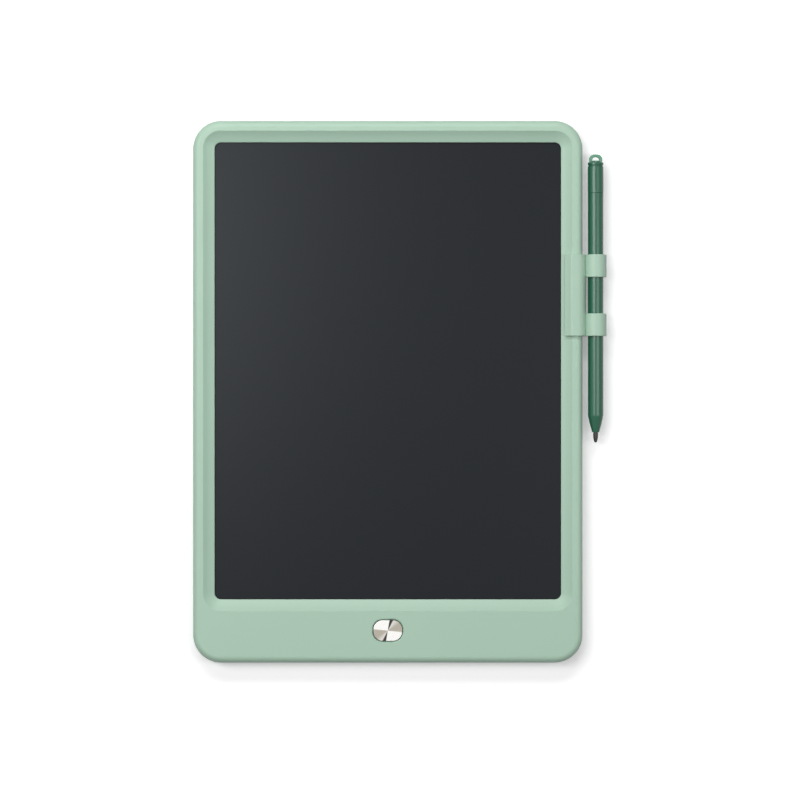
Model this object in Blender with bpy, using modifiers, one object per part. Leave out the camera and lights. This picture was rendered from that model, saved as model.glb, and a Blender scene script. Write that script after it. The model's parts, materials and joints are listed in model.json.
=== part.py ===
"""A drawing tablet with an erase button, a sliding pen clip and a pen.

The tablet lies on its back. The origin is the centre of its flat back, +X is to its right, +Y to its top end
and +Z out of the writing film. All lengths are in metres. Each piece is one named object in the collection
drawing_tablet, and what cuts or joins pieces is in the collection cutters.
"""

import math

import bmesh
import bpy
from mathutils import Vector

# Clearances that several pieces share
SEAT_GAP = 0.0003
SHEET_GAP = 0.0001
OVERRUN = 0.001

# Body outline and screen opening
BODY_WIDTH = 0.1725
BODY_LENGTH = 0.240
BODY_HEIGHT = 0.0105
BODY_CORNER = 0.0124
SIDE_BORDER = 0.0095
TOP_BORDER = 0.0095
CHIN_BORDER = 0.028
OPENING_CORNER = 0.0027
WALL = 0.0016

# Section of the front frame
ROUND_OVER = 0.0030
DISH_WIDTH = 0.0049
DISH_DEPTH = 0.0028
DISH_HOLLOW = 0.31
DISH_CORNER = 0.0077
LIP_THICKNESS = 0.0008
LIP_ROOT = 0.0017

# Section of the back cover
FLOOR_THICKNESS = 0.0014
BORDER_STEP = 0.0015
STEP_DRAFT = 0.0004
EDGE_ROUND = 0.001
PLATEAU_SIDE_INSET = 0.010
PLATEAU_END_INSET = 0.0026
PLATEAU_CORNER = 0.008
PARTING_GAP = 0.0003
RIB_THICKNESS = 0.0012
CROSS_RIB_DROP = 0.0002
RIB_END_INSET = 0.003
LONG_RIB_SHARES = (-0.43, -0.15, 0.15, 0.43)
CROSS_RIB_SHARES = (-0.30, 0.0, 0.30)

# Layers of the screen
FILM_MARGIN = 0.0025
FILM_CLEARANCE = 0.0004
GASKET_THICKNESS = 0.0003
FILM_THICKNESS = 0.0005
BACKING_THICKNESS = 0.0003
PLATE_THICKNESS = 0.0012

# Housing screws and their bosses
SCREW_SIDE_INSET = 0.0038
SCREW_PLACE_SHARES = (0.417, 0.017, -0.454)
SCREW_SHANK = 0.0009
SCREW_HEAD = 0.0019
SCREW_HEAD_HEIGHT = 0.0010
SCREW_LENGTH = 0.0060
SCREW_RECESS = 0.0001
BOSS_RADIUS = 0.0021
CROSS_LENGTH = 0.0020
CROSS_WIDTH = 0.0004
CROSS_DEPTH = 0.0005

# Coin cell, its door and its contacts
CELL_RADIUS = 0.010
CELL_THICKNESS = 0.0025
CELL_CAN_STEP = 0.0007
CELL_X = -0.030
CELL_END_INSET = 0.0139
DOOR_WIDTH = 0.0335
DOOR_LENGTH = 0.0204
DOOR_THICKNESS = 0.00125
DOOR_RECESS = 0.0001
DOOR_CORNER = 0.002
HINGE_INSET = 0.0015
WELL_WALL = 0.0010
WELL_HINGE_WALL = 0.0023
TAB_WIDTH = 0.003
TAB_SPREAD = 0.0135
TAB_THICKNESS = 0.0006
TAB_ROOT = 0.0015
TAB_REACH = 0.0009
TAB_SWING_ROOM = 0.0024
TAB_HEAD_ROOM = 0.0007
DOOR_SCREW_INSET = 0.0048
DOOR_SCREW_LENGTH = 0.0036
CONTACT_THICKNESS = 0.00025
NEGATIVE_LENGTH = 0.018
NEGATIVE_WIDTH = 0.005
NEGATIVE_SHIFT = 0.004
POSITIVE_WIDTH = 0.006
POSITIVE_FOOT = 0.0026
POSITIVE_DROP = 0.0027

# Control board and what it carries
BOARD_WIDTH = 0.0755
BOARD_LENGTH = 0.0196
BOARD_THICKNESS = 0.0010
BOARD_CELL_MARGIN = 0.00325
BOARD_END_INSET = 0.0135
BOARD_CORNER = 0.0015
BOARD_SCREW_INSET_X = 0.0027
BOARD_SCREW_INSET_Y = 0.0024
BOARD_SCREW_SHANK = 0.0008
BOARD_SCREW_HEAD = 0.0016
BOARD_SCREW_HEAD_HEIGHT = 0.0010
BOARD_SCREW_DEPTH = 0.0012
STANDOFF_RADIUS = 0.0019
CHIP_SIZE = (0.0050, 0.0040, 0.0010)
CHIP_PLACE_SHARES = (0.31, -0.20)
INDUCTOR_RADIUS = 0.0026
INDUCTOR_HEIGHT = 0.0016
INDUCTOR_PLACE_SHARES = (-0.10, -0.20)
CAPACITOR_SIZE = (0.0032, 0.0016, 0.0012)
CAPACITOR_PLACE_SHARES = ((-0.22, -0.26), (0.32, 0.24))
PART_EDGE = 0.0002

# Erase button and its switch
BUTTON_END_INSET = 0.0144
BUTTON_WIDTH = 0.0127
BUTTON_LENGTH = 0.0091
BUTTON_CORNER = 0.0041
BUTTON_THICKNESS = 0.0008
BUTTON_EDGE = 0.0002
BUTTON_PROUD = 0.00005
BUTTON_GAP = 0.00035
BUTTON_TRAVEL = 0.00035
HOLE_CHAMFER = 0.00045
FLANGE_REACH = 0.0011
FLANGE_THICKNESS = 0.0003
NECK_INSET = 0.0003
SWITCH_SIZE = 0.0060
SWITCH_HEIGHT = 0.0012
SWITCH_CORNER = 0.0005
PLUNGER_RADIUS = 0.0016
PLUNGER_FLOOR_ROOM = 0.00005

# Erase lock: slider in the back and its switch
LOCK_EDGE_INSET = 0.00975
LOCK_TRAVEL = 0.003
KNOB_LENGTH = 0.0050
KNOB_WIDTH = 0.0028
KNOB_RECESS = 0.0001
KNOB_RIDGE = 0.0006
KNOB_RIDGE_DEPTH = 0.0003
KNOB_RIDGES = 3
SLIDER_FLANGE_LENGTH = 0.0115
SLIDER_FLANGE_WIDTH = 0.0056
SLIDER_FLANGE_THICKNESS = 0.0005
LOCK_SWITCH_LENGTH = 0.0095
LOCK_SWITCH_WIDTH = 0.0036
LEVER_LENGTH = 0.0015
LEVER_WIDTH = 0.0014
LEVER_BITE = 0.0006

# Tail of the film and its connector
TAIL_WIDTH = 0.008
TAIL_THICKNESS = 0.0002
TAIL_PLACE_SHARE = 0.232
TAIL_BITE = 0.0014
TAIL_LEAD = 0.0006
TAIL_DROP = 0.0002
CONNECTOR_WIDTH = 0.0110
CONNECTOR_LENGTH = 0.0036
CONNECTOR_HEIGHT = 0.0012
CONNECTOR_EDGE_INSET = 0.0003

# Pen clip
CLIP_GAP = 0.0003
CLIP_WALL = 0.0013
CLIP_LIP_THICKNESS = 0.00095
CLIP_LIP_REACH = 0.0021
CLIP_LOWER_REACH = 0.0065
CLIP_TOP_INSET = 0.05925
CLIP_LENGTH = 0.0361
LOOP_LENGTH = 0.0100
LOOP_WALL = 0.00115
LOOP_CLEARANCE = 0.000225
LOOP_OVERLAP = 0.0006

# Pen
PEN_RADIUS = 0.003425
PEN_CAP_RADIUS = 0.003475
PEN_BORE = 0.0022
PEN_HEIGHT = 0.0070
PEN_TOP_INSET = 0.0149
EYE_HEIGHT = 0.0034
CAP_LENGTH = 0.0136
BARREL_LENGTH = 0.0981
CONE_LENGTH = 0.0077
CONE_END_RADIUS = 0.0016
CONE_BORE = 0.0010
NIB_LENGTH = 0.0045
NIB_RADIUS = 0.0011
NIB_TIP_RADIUS = 0.0007
NIB_SHANK_RADIUS = 0.0007
NIB_SHANK_LENGTH = 0.0120
SPIGOT_LENGTH = 0.0080
SPIGOT_RADIUS = 0.0019
CAP_EDGE = 0.0004
CAP_GROOVE_DEPTH = 0.0003
CAP_GROOVE_WIDTH = 0.0006
CAP_GROOVE_DROP = 0.0016
EYE_WIDTH = 0.0058
EYE_THICKNESS = 0.0022
EYE_CORNER = 0.0022
EYE_HOLE_WIDTH = 0.00305
EYE_HOLE_HEIGHT = 0.0016
EYE_HOLE_RISE = 0.0004
EYE_STEM_RADIUS = 0.0010
EYE_STEM_LENGTH = 0.0040

# Faceting of round shapes
CORNER_STEPS = 10
DISH_STEPS = 6
ROUND_OVER_STEPS = 6
EDGE_STEPS = 4
SMALL_ROUND_STEPS = 16
LARGE_ROUND_STEPS = 32
PEN_STEPS = 32
NIB_STEPS = 16

# Screen opening and heights that follow from the sizes above
OPENING_WIDTH = BODY_WIDTH - 2 * SIDE_BORDER
OPENING_LENGTH = BODY_LENGTH - TOP_BORDER - CHIN_BORDER
OPENING_Y = (CHIN_BORDER - TOP_BORDER) / 2
LIP_TOP = BODY_HEIGHT - DISH_DEPTH
LIP_UNDERSIDE = LIP_TOP - LIP_THICKNESS
CREST_UNDERSIDE = BODY_HEIGHT - WALL
BORDER_INNER = BORDER_STEP + FLOOR_THICKNESS
FRAME_BASE = BORDER_INNER + PARTING_GAP
GASKET_TOP = LIP_UNDERSIDE - SHEET_GAP
FILM_TOP = GASKET_TOP - GASKET_THICKNESS - SHEET_GAP
BACKING_TOP = FILM_TOP - FILM_THICKNESS - SHEET_GAP
PLATE_TOP = BACKING_TOP - BACKING_THICKNESS - SHEET_GAP
RIB_TOP = PLATE_TOP - PLATE_THICKNESS - SEAT_GAP
FILM_WIDTH = OPENING_WIDTH + 2 * FILM_MARGIN
FILM_LENGTH = OPENING_LENGTH + 2 * FILM_MARGIN
FILM_CORNER = OPENING_CORNER + FILM_MARGIN
FILM_END_Y = OPENING_Y - FILM_LENGTH / 2
SCREW_X = BODY_WIDTH / 2 - SCREW_SIDE_INSET

# Places of the door, the cell and the board
BODY_END_Y = -BODY_LENGTH / 2
CELL_Y = BODY_END_Y + CELL_END_INSET
BUTTON_Y = BODY_END_Y + BUTTON_END_INSET
BOARD_LEFT = CELL_X - CELL_RADIUS - BOARD_CELL_MARGIN
BOARD_X = BOARD_LEFT + BOARD_WIDTH / 2
BOARD_Y = BODY_END_Y + BOARD_END_INSET
LOCK_X = BOARD_LEFT + BOARD_WIDTH - LOCK_EDGE_INSET
LOCK_Y = CELL_Y
TAIL_X = BOARD_X + TAIL_PLACE_SHARE * BOARD_WIDTH
DOOR_TOP = DOOR_RECESS + DOOR_THICKNESS
CELL_BOTTOM = DOOR_TOP + SEAT_GAP
CELL_TOP = CELL_BOTTOM + CELL_THICKNESS
PIVOT_X = CELL_X + CELL_RADIUS + HINGE_INSET
DOOR_RIGHT = PIVOT_X - SEAT_GAP
DOOR_LEFT = DOOR_RIGHT - DOOR_WIDTH
DOOR_SCREW_X = DOOR_LEFT + DOOR_SCREW_INSET
TAB_BOTTOM = FLOOR_THICKNESS + SEAT_GAP
TAB_TOP = TAB_BOTTOM + TAB_THICKNESS
CONTACT_BOTTOM = CELL_TOP + SEAT_GAP
CONTACT_TOP = CONTACT_BOTTOM + CONTACT_THICKNESS
BOARD_BOTTOM = CONTACT_TOP + SEAT_GAP
BOARD_TOP = BOARD_BOTTOM + BOARD_THICKNESS
BOARD_PART_BASE = BOARD_TOP + SEAT_GAP
STANDOFF_TOP = BOARD_BOTTOM - SEAT_GAP
BOARD_SCREW_SPAN_X = BOARD_WIDTH / 2 - BOARD_SCREW_INSET_X
BOARD_SCREW_SPAN_Y = BOARD_LENGTH / 2 - BOARD_SCREW_INSET_Y
BOARD_SCREW_PLACES = (
    (BOARD_X - BOARD_SCREW_SPAN_X, BOARD_Y - BOARD_SCREW_SPAN_Y),
    (BOARD_X + BOARD_SCREW_SPAN_X, BOARD_Y + BOARD_SCREW_SPAN_Y),
)

# Heights of the button's stack
BUTTON_TOP = BODY_HEIGHT + BUTTON_PROUD
BUTTON_BOTTOM = BUTTON_TOP - BUTTON_THICKNESS
FLANGE_TOP = CREST_UNDERSIDE - SEAT_GAP
FLANGE_BOTTOM = FLANGE_TOP - FLANGE_THICKNESS
SWITCH_TOP = BOARD_PART_BASE + SWITCH_HEIGHT
PLUNGER_TOP = FLANGE_BOTTOM - SEAT_GAP
PLUNGER_BOTTOM = SWITCH_TOP - SEAT_GAP
PLUNGER_WELL_FLOOR = PLUNGER_BOTTOM - BUTTON_TRAVEL - PLUNGER_FLOOR_ROOM

# Places of the clip and the pen
CLIP_FACE_X = BODY_WIDTH / 2 + CLIP_GAP + CLIP_WALL
LOOP_BORE = PEN_CAP_RADIUS + LOOP_CLEARANCE
LOOP_RADIUS = LOOP_BORE + LOOP_WALL
PEN_X = CLIP_FACE_X - LOOP_OVERLAP + LOOP_RADIUS
CLIP_Y = BODY_LENGTH / 2 - CLIP_TOP_INSET - CLIP_LENGTH / 2
LOOP_SPREAD = CLIP_LENGTH / 2 - LOOP_LENGTH / 2
PEN_TOP_Y = BODY_LENGTH / 2 - PEN_TOP_INSET
CAP_TOP_Y = PEN_TOP_Y - EYE_HEIGHT
CAP_END_Y = CAP_TOP_Y - CAP_LENGTH
BARREL_TOP_Y = CAP_END_Y - SEAT_GAP
CONE_START_Y = BARREL_TOP_Y - BARREL_LENGTH
CONE_END_Y = CONE_START_Y - CONE_LENGTH

ALONG_Y = (-math.pi / 2, 0.0, 0.0)
MERGE_DISTANCE = 0.000001


def clear_scene():
    """Remove every object that the file opened with."""
    for thing in list(bpy.data.objects):
        bpy.data.objects.remove(thing, do_unlink=True)


def new_collection(name):
    """Add a collection to the scene."""
    collection = bpy.data.collections.new(name)
    bpy.context.scene.collection.children.link(collection)
    return collection


def new_material(name, colour, roughness, metallic=0.0):
    """A Principled BSDF with one colour, roughness and metallic value."""
    material = bpy.data.materials.new(name)
    material.use_nodes = True
    shader = material.node_tree.nodes["Principled BSDF"]
    shader.inputs["Base Color"].default_value = (*colour, 1.0)
    shader.inputs["Roughness"].default_value = roughness
    shader.inputs["Metallic"].default_value = metallic
    return material


def object_from(bm, name):
    """An object in the parts collection that takes over a bmesh."""
    bmesh.ops.recalc_face_normals(bm, faces=bm.faces)
    mesh = bpy.data.meshes.new(name)
    bm.to_mesh(mesh)
    bm.free()
    piece = bpy.data.objects.new(name, mesh)
    PARTS.objects.link(piece)
    return piece


def dress(piece, material, smooth=False):
    """Give a piece its material and, where it is round, smooth shading."""
    piece.data.materials.append(material)
    if smooth:
        piece.data.shade_smooth()
        piece.data.set_sharp_from_angle(angle=math.radians(35))
    return piece


def block(name, low, high, corner=0.0, edge=0.0, steps=EDGE_STEPS):
    """A box between two corners, its upright edges rounded by corner and its top rim by edge."""
    low, high = Vector(low), Vector(high)
    bm = bmesh.new()
    bmesh.ops.create_cube(bm, size=1.0)
    bmesh.ops.scale(bm, vec=high - low, verts=bm.verts)
    bmesh.ops.translate(bm, vec=(low + high) / 2, verts=bm.verts)
    if corner:
        upright = [e for e in bm.edges if abs((e.verts[0].co - e.verts[1].co).z) > MERGE_DISTANCE]
        bmesh.ops.bevel(bm, geom=upright, offset=corner, segments=steps, profile=0.5, affect="EDGES")
    if edge:
        rim = [e for e in bm.edges if min(v.co.z for v in e.verts) > high.z - MERGE_DISTANCE]
        bmesh.ops.bevel(bm, geom=rim, offset=edge, segments=1, profile=0.5, affect="EDGES")
    return object_from(bm, name)


def centred_block(name, centre, size, corner=0.0, edge=0.0, steps=EDGE_STEPS):
    """A box that stands on the point centre."""
    x, y, base = centre
    width, length, height = size
    low = (x - width / 2, y - length / 2, base)
    high = (x + width / 2, y + length / 2, base + height)
    return block(name, low, high, corner, edge, steps)


def cylinder(name, centre, base, top, radius, steps=SMALL_ROUND_STEPS, top_radius=None):
    """An upright cylinder, or a cone where top_radius is given."""
    bm = bmesh.new()
    bmesh.ops.create_cone(
        bm, cap_ends=True, segments=steps, radius1=radius,
        radius2=radius if top_radius is None else top_radius, depth=top - base,
    )
    bmesh.ops.translate(bm, vec=(centre[0], centre[1], (base + top) / 2), verts=bm.verts)
    return object_from(bm, name)


def turned(name, profile, steps, place=(0.0, 0.0, 0.0), turn=(0.0, 0.0, 0.0)):
    """A solid of revolution about its own Z, from (radius, height) points that run down the outside."""
    bm = bmesh.new()
    corners = [bm.verts.new((radius, 0.0, height)) for radius, height in profile]
    for first, second in zip(corners, corners[1:]):
        bm.edges.new((first, second))
    if profile[0][0] > 0 and profile[-1][0] > 0:
        bm.edges.new((corners[-1], corners[0]))
    mesh = bpy.data.meshes.new(name)
    bm.to_mesh(mesh)
    bm.free()
    piece = bpy.data.objects.new(name, mesh)
    PARTS.objects.link(piece)
    screw = piece.modifiers.new("Turn", "SCREW")
    screw.steps = steps
    screw.render_steps = steps
    screw.use_merge_vertices = True
    screw.merge_threshold = MERGE_DISTANCE
    piece.location = place
    piece.rotation_euler = turn
    return piece


def prism(name, outline, depth, place, turn):
    """A flat outline as a filled 2D curve of the given depth, made a mesh with its caps welded."""
    curve = bpy.data.curves.new(name, "CURVE")
    curve.dimensions = "2D"
    curve.fill_mode = "BOTH"
    curve.extrude = depth / 2
    spline = curve.splines.new("POLY")
    spline.points.add(len(outline) - 1)
    for point, (across, up) in zip(spline.points, outline):
        point.co = (across, up, 0.0, 1.0)
    spline.use_cyclic_u = True
    drawing = bpy.data.objects.new(name + "_outline", curve)
    PARTS.objects.link(drawing)
    drawing.location = place
    drawing.rotation_euler = turn
    bpy.context.view_layer.update()
    mesh = bpy.data.meshes.new_from_object(drawing.evaluated_get(bpy.context.evaluated_depsgraph_get()))
    place_matrix = drawing.matrix_world.copy()
    bpy.data.objects.remove(drawing, do_unlink=True)
    bm = bmesh.new()
    bm.from_mesh(mesh)
    bmesh.ops.remove_doubles(bm, verts=bm.verts, dist=MERGE_DISTANCE)
    piece = object_from(bm, name)
    piece.matrix_world = place_matrix
    return piece


def rounded_outline(width, length, radius, centre_y=0.0):
    """Points round a rectangle with rounded corners, anticlockwise from the middle of its right side."""
    points = []
    for quarter, (side_x, side_y) in enumerate(((1, 1), (-1, 1), (-1, -1), (1, -1))):
        corner_x = side_x * (width / 2 - radius)
        corner_y = centre_y + side_y * (length / 2 - radius)
        for step in range(CORNER_STEPS + 1):
            angle = (quarter + step / CORNER_STEPS) * math.pi / 2
            points.append((corner_x + radius * math.cos(angle), corner_y + radius * math.sin(angle)))
    return points


def loft(name, contours, ring=False):
    """A skin through contours of (outline, height); a ring closes on itself, and a solid gets two caps."""
    bm = bmesh.new()
    rows = [[bm.verts.new((x, y, height)) for x, y in outline] for outline, height in contours]
    count = len(rows[0])
    pairs = list(zip(rows, rows[1:]))
    if ring:
        pairs.append((rows[-1], rows[0]))
    else:
        bm.faces.new(rows[0])
        bm.faces.new(rows[-1])
    for row, following in pairs:
        for i in range(count):
            j = (i + 1) % count
            bm.faces.new((row[i], row[j], following[j], following[i]))
    return object_from(bm, name)


def combine(target, tool, operation):
    """Cut a tool out of a piece or join it on, with an exact Boolean."""
    PARTS.objects.unlink(tool)
    CUTTERS.objects.link(tool)
    tool.hide_render = True
    tool.display_type = "WIRE"
    boolean = target.modifiers.new(tool.name, "BOOLEAN")
    boolean.operation = operation
    boolean.solver = "EXACT"
    boolean.object = tool


def cut(target, *tools):
    """Cut each tool out of a piece."""
    for tool in tools:
        combine(target, tool, "DIFFERENCE")


def join(target, *tools):
    """Join each tool to a piece."""
    for tool in tools:
        combine(target, tool, "UNION")


def both_sides(values):
    """Each value on the left and on the right, as (side, value)."""
    return [(side, value) for value in values for side in (-1, 1)]


def screw_places():
    """Centres of the six housing screws, left and right at three heights."""
    return [(side * SCREW_X, share * BODY_LENGTH) for side, share in both_sides(SCREW_PLACE_SHARES)]


def cross_recess(name, centre, face, depth_sign):
    """Two crossed slots that a driver fits, cut into a screw's head."""
    x, y = centre
    reach = depth_sign * CROSS_DEPTH
    low, high = sorted((face - depth_sign * OVERRUN, face + reach))
    long, narrow = CROSS_LENGTH / 2, CROSS_WIDTH / 2
    first = block(name + "_slot_a", (x - long, y - narrow, low), (x + long, y + narrow, high))
    second = block(name + "_slot_b", (x - narrow, y - long, low), (x + narrow, y + long, high))
    return first, second


def back_screw(name, centre, face, length, material):
    """A countersunk screw that goes in from the back, its head's face at the height face."""
    neck = face + SCREW_HEAD_HEIGHT
    profile = (
        (0.0, face + length), (SCREW_SHANK, face + length), (SCREW_SHANK, neck), (SCREW_HEAD, face), (0.0, face),
    )
    piece = turned(name, profile, SMALL_ROUND_STEPS, place=(*centre, 0.0))
    cut(piece, *cross_recess(name, centre, face, 1))
    return dress(piece, material, smooth=True)


def countersink(name, centre, face, top):
    """The room of a countersunk screw in what it holds, from below the face up to top."""
    neck = face + SCREW_HEAD_HEIGHT
    profile = (
        (0.0, top), (SCREW_SHANK + SEAT_GAP, top), (SCREW_SHANK + SEAT_GAP, neck),
        (SCREW_HEAD + SEAT_GAP, face), (SCREW_HEAD + SEAT_GAP, face - OVERRUN), (0.0, face - OVERRUN),
    )
    return turned(name, profile, SMALL_ROUND_STEPS, place=(*centre, 0.0))


def dish_point(share):
    """Distance out from the opening and height on the dished slope, share 0 at the crest, 1 at the edge."""
    drop = DISH_DEPTH * share * (1 + DISH_HOLLOW * (1 - share))
    return DISH_WIDTH * (1 - share), BODY_HEIGHT - drop


def dish_fall(share):
    """How far the slope would fall over the whole width of the dish at the slant that it has at share."""
    return DISH_DEPTH * (1 + DISH_HOLLOW * (1 - 2 * share))


def opening_outline(out, radius=None):
    """The screen opening's outline grown by out."""
    width, length = OPENING_WIDTH + 2 * out, OPENING_LENGTH + 2 * out
    return rounded_outline(width, length, OPENING_CORNER + out if radius is None else radius, OPENING_Y)


def body_outline(inset):
    """The body's outline drawn in by inset."""
    return rounded_outline(BODY_WIDTH - 2 * inset, BODY_LENGTH - 2 * inset, BODY_CORNER - inset)


def front_frame(material):
    """The bezel: rounded rim, flat crest and chin, dished slope, thin lip, bosses and the button's hole."""
    contours = [(body_outline(0.0), FRAME_BASE)]
    for step in range(ROUND_OVER_STEPS + 1):
        angle = step / ROUND_OVER_STEPS * math.pi / 2
        inset = ROUND_OVER * (1 - math.cos(angle))
        contours.append((body_outline(inset), BODY_HEIGHT - ROUND_OVER * (1 - math.sin(angle))))
    for step in range(DISH_STEPS + 1):
        share = step / DISH_STEPS
        out, height = dish_point(share)
        corner = DISH_CORNER + share * (OPENING_CORNER - DISH_CORNER)
        contours.append((opening_outline(out, corner), height))
    seat = FILM_MARGIN + FILM_CLEARANCE
    contours.append((opening_outline(0.0), LIP_UNDERSIDE))
    contours.append((opening_outline(seat), LIP_UNDERSIDE))
    contours.append((opening_outline(seat + LIP_ROOT), CREST_UNDERSIDE))
    contours.append((body_outline(WALL), CREST_UNDERSIDE))
    contours.append((body_outline(WALL), FRAME_BASE))
    frame = loft("front_frame", contours, ring=True)
    boss_top = CREST_UNDERSIDE + WALL / 2
    for number, centre in enumerate(screw_places(), 1):
        join(frame, cylinder(f"frame_boss_{number}", centre, FRAME_BASE + SEAT_GAP, boss_top, BOSS_RADIUS))
        hole_top = BORDER_STEP + SCREW_RECESS + SCREW_LENGTH + SEAT_GAP
        hole = cylinder(f"frame_hole_{number}", centre, FRAME_BASE - OVERRUN, hole_top, SCREW_SHANK + SEAT_GAP)
        cut(frame, hole)
    width, length = BUTTON_WIDTH + 2 * BUTTON_GAP, BUTTON_LENGTH + 2 * BUTTON_GAP
    corner = BUTTON_CORNER + BUTTON_GAP
    wide = HOLE_CHAMFER + OVERRUN
    hole = loft("button_hole", [
        (rounded_outline(width, length, corner, BUTTON_Y), CREST_UNDERSIDE - OVERRUN),
        (rounded_outline(width, length, corner, BUTTON_Y), BODY_HEIGHT - HOLE_CHAMFER),
        (rounded_outline(width + 2 * wide, length + 2 * wide, corner + wide, BUTTON_Y), BODY_HEIGHT + OVERRUN),
    ])
    cut(frame, hole)
    return dress(frame, material, smooth=True)


def plateau_outline(inset):
    """The flat of the back that the tablet rests on, drawn in by inset."""
    width = BODY_WIDTH - 2 * (PLATEAU_SIDE_INSET + inset)
    length = BODY_LENGTH - 2 * (PLATEAU_END_INSET + inset)
    return rounded_outline(width, length, PLATEAU_CORNER - inset)


def back_cover(material):
    """The back tray: stepped shell, ribs, cell well, board standoffs and the holes for what passes through."""
    half_round = EDGE_ROUND * (1 - math.sin(math.pi / 4))
    cover = loft("back_cover", [
        (plateau_outline(0.0), 0.0),
        (plateau_outline(-STEP_DRAFT), BORDER_STEP),
        (body_outline(EDGE_ROUND), BORDER_STEP),
        (body_outline(half_round), BORDER_STEP + half_round),
        (body_outline(0.0), BORDER_STEP + EDGE_ROUND),
        (body_outline(0.0), BORDER_INNER),
        (plateau_outline(FLOOR_THICKNESS - STEP_DRAFT), BORDER_INNER),
        (plateau_outline(FLOOR_THICKNESS), FLOOR_THICKNESS),
    ])
    embed = FLOOR_THICKNESS / 2
    rib_top_y = OPENING_Y + FILM_LENGTH / 2 - RIB_END_INSET
    rib_end_y = FILM_END_Y + RIB_END_INSET
    rib_side = BODY_WIDTH / 2 - PLATEAU_SIDE_INSET - FLOOR_THICKNESS / 2
    half_rib = RIB_THICKNESS / 2
    for number, share in enumerate(CROSS_RIB_SHARES, 1):
        y = OPENING_Y + share * OPENING_LENGTH
        low, high = (-rib_side, y - half_rib, embed), (rib_side, y + half_rib, RIB_TOP - CROSS_RIB_DROP)
        join(cover, block(f"cross_rib_{number}", low, high))
    for number, share in enumerate(LONG_RIB_SHARES, 1):
        x = share * BODY_WIDTH
        low, high = (x - half_rib, rib_end_y, embed), (x + half_rib, rib_top_y, RIB_TOP)
        join(cover, block(f"long_rib_{number}", low, high))
    half_opening = DOOR_LENGTH / 2 + SEAT_GAP
    well_left = DOOR_LEFT - SEAT_GAP - WELL_WALL
    well_half = half_opening + WELL_WALL
    join(cover, block(
        "cell_well", (well_left, CELL_Y - well_half, embed),
        (PIVOT_X + WELL_HINGE_WALL, CELL_Y + well_half, RIB_TOP),
    ))
    for number, (centre, foot) in enumerate(zip(BOARD_SCREW_PLACES, (RIB_TOP - embed, embed)), 1):
        join(cover, cylinder(f"standoff_{number}", centre, foot, STANDOFF_TOP, STANDOFF_RADIUS))
        hole_floor = STANDOFF_TOP - BOARD_SCREW_DEPTH - SEAT_GAP
        cut(cover, cylinder(
            f"standoff_hole_{number}", centre, hole_floor, STANDOFF_TOP + OVERRUN, BOARD_SCREW_SHANK + SEAT_GAP,
        ))
    cut(cover, block(
        "door_opening", (DOOR_LEFT - SEAT_GAP, CELL_Y - half_opening, -OVERRUN),
        (PIVOT_X, CELL_Y + half_opening, CELL_BOTTOM), corner=DOOR_CORNER,
    ))
    cut(cover, cylinder(
        "cell_bore", (CELL_X, CELL_Y), CELL_BOTTOM - OVERRUN, RIB_TOP + OVERRUN, CELL_RADIUS + SEAT_GAP,
        LARGE_ROUND_STEPS,
    ))
    cut(cover, cylinder(
        "door_screw_hole", (DOOR_SCREW_X, CELL_Y), CELL_BOTTOM - OVERRUN, RIB_TOP + OVERRUN,
        SCREW_SHANK + SEAT_GAP,
    ))
    slot_half = POSITIVE_WIDTH / 2 + SEAT_GAP
    slot_outer = CELL_X - CELL_RADIUS - 2 * SEAT_GAP - CONTACT_THICKNESS
    cut(cover, block(
        "contact_slot", (slot_outer, CELL_Y - slot_half, CELL_BOTTOM - OVERRUN / 2),
        (CELL_X - CELL_RADIUS / 2, CELL_Y + slot_half, RIB_TOP + OVERRUN),
    ))
    tab_half = TAB_WIDTH / 2 + SEAT_GAP
    for side in (-1, 1):
        y = CELL_Y + side * TAB_SPREAD / 2
        cut(cover, block(
            f"tab_pocket_{side}", (PIVOT_X - TAB_SWING_ROOM, y - tab_half, FLOOR_THICKNESS),
            (PIVOT_X + TAB_REACH + SEAT_GAP, y + tab_half, TAB_TOP + TAB_HEAD_ROOM),
        ))
    slot_length = KNOB_LENGTH / 2 + SEAT_GAP
    slot_width = KNOB_WIDTH / 2 + SEAT_GAP
    cut(cover, block(
        "slider_slot", (LOCK_X - slot_length, LOCK_Y - slot_width, -OVERRUN),
        (LOCK_X + slot_length + LOCK_TRAVEL, LOCK_Y + slot_width, FLOOR_THICKNESS + OVERRUN),
    ))
    for number, centre in enumerate(screw_places(), 1):
        cut(cover, countersink(
            f"countersink_{number}", centre, BORDER_STEP + SCREW_RECESS, BORDER_INNER + OVERRUN,
        ))
    return dress(cover, material, smooth=True)


def battery_door(material):
    """The door over the cell: a plate, two hooked tabs at its hinge edge and a screw hole at the other."""
    half = DOOR_LENGTH / 2
    door = block(
        "battery_door", (DOOR_LEFT, CELL_Y - half, DOOR_RECESS), (DOOR_RIGHT, CELL_Y + half, DOOR_TOP),
        corner=DOOR_CORNER - SEAT_GAP,
    )
    hook_left = PIVOT_X - SEAT_GAP - TAB_ROOT
    outline = (
        (hook_left, DOOR_TOP - DOOR_THICKNESS / 2), (DOOR_RIGHT - SEAT_GAP, DOOR_TOP - DOOR_THICKNESS / 2),
        (DOOR_RIGHT - SEAT_GAP, TAB_BOTTOM), (PIVOT_X + TAB_REACH, TAB_BOTTOM),
        (PIVOT_X + TAB_REACH, TAB_TOP), (hook_left, TAB_TOP),
    )
    for side in (-1, 1):
        y = CELL_Y + side * TAB_SPREAD / 2
        join(door, prism(f"door_tab_{side}", outline, TAB_WIDTH, (0.0, y, 0.0), (math.pi / 2, 0.0, 0.0)))
    cut(door, countersink("door_countersink", (DOOR_SCREW_X, CELL_Y), DOOR_RECESS, DOOR_TOP + OVERRUN))
    return dress(door, material)


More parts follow.
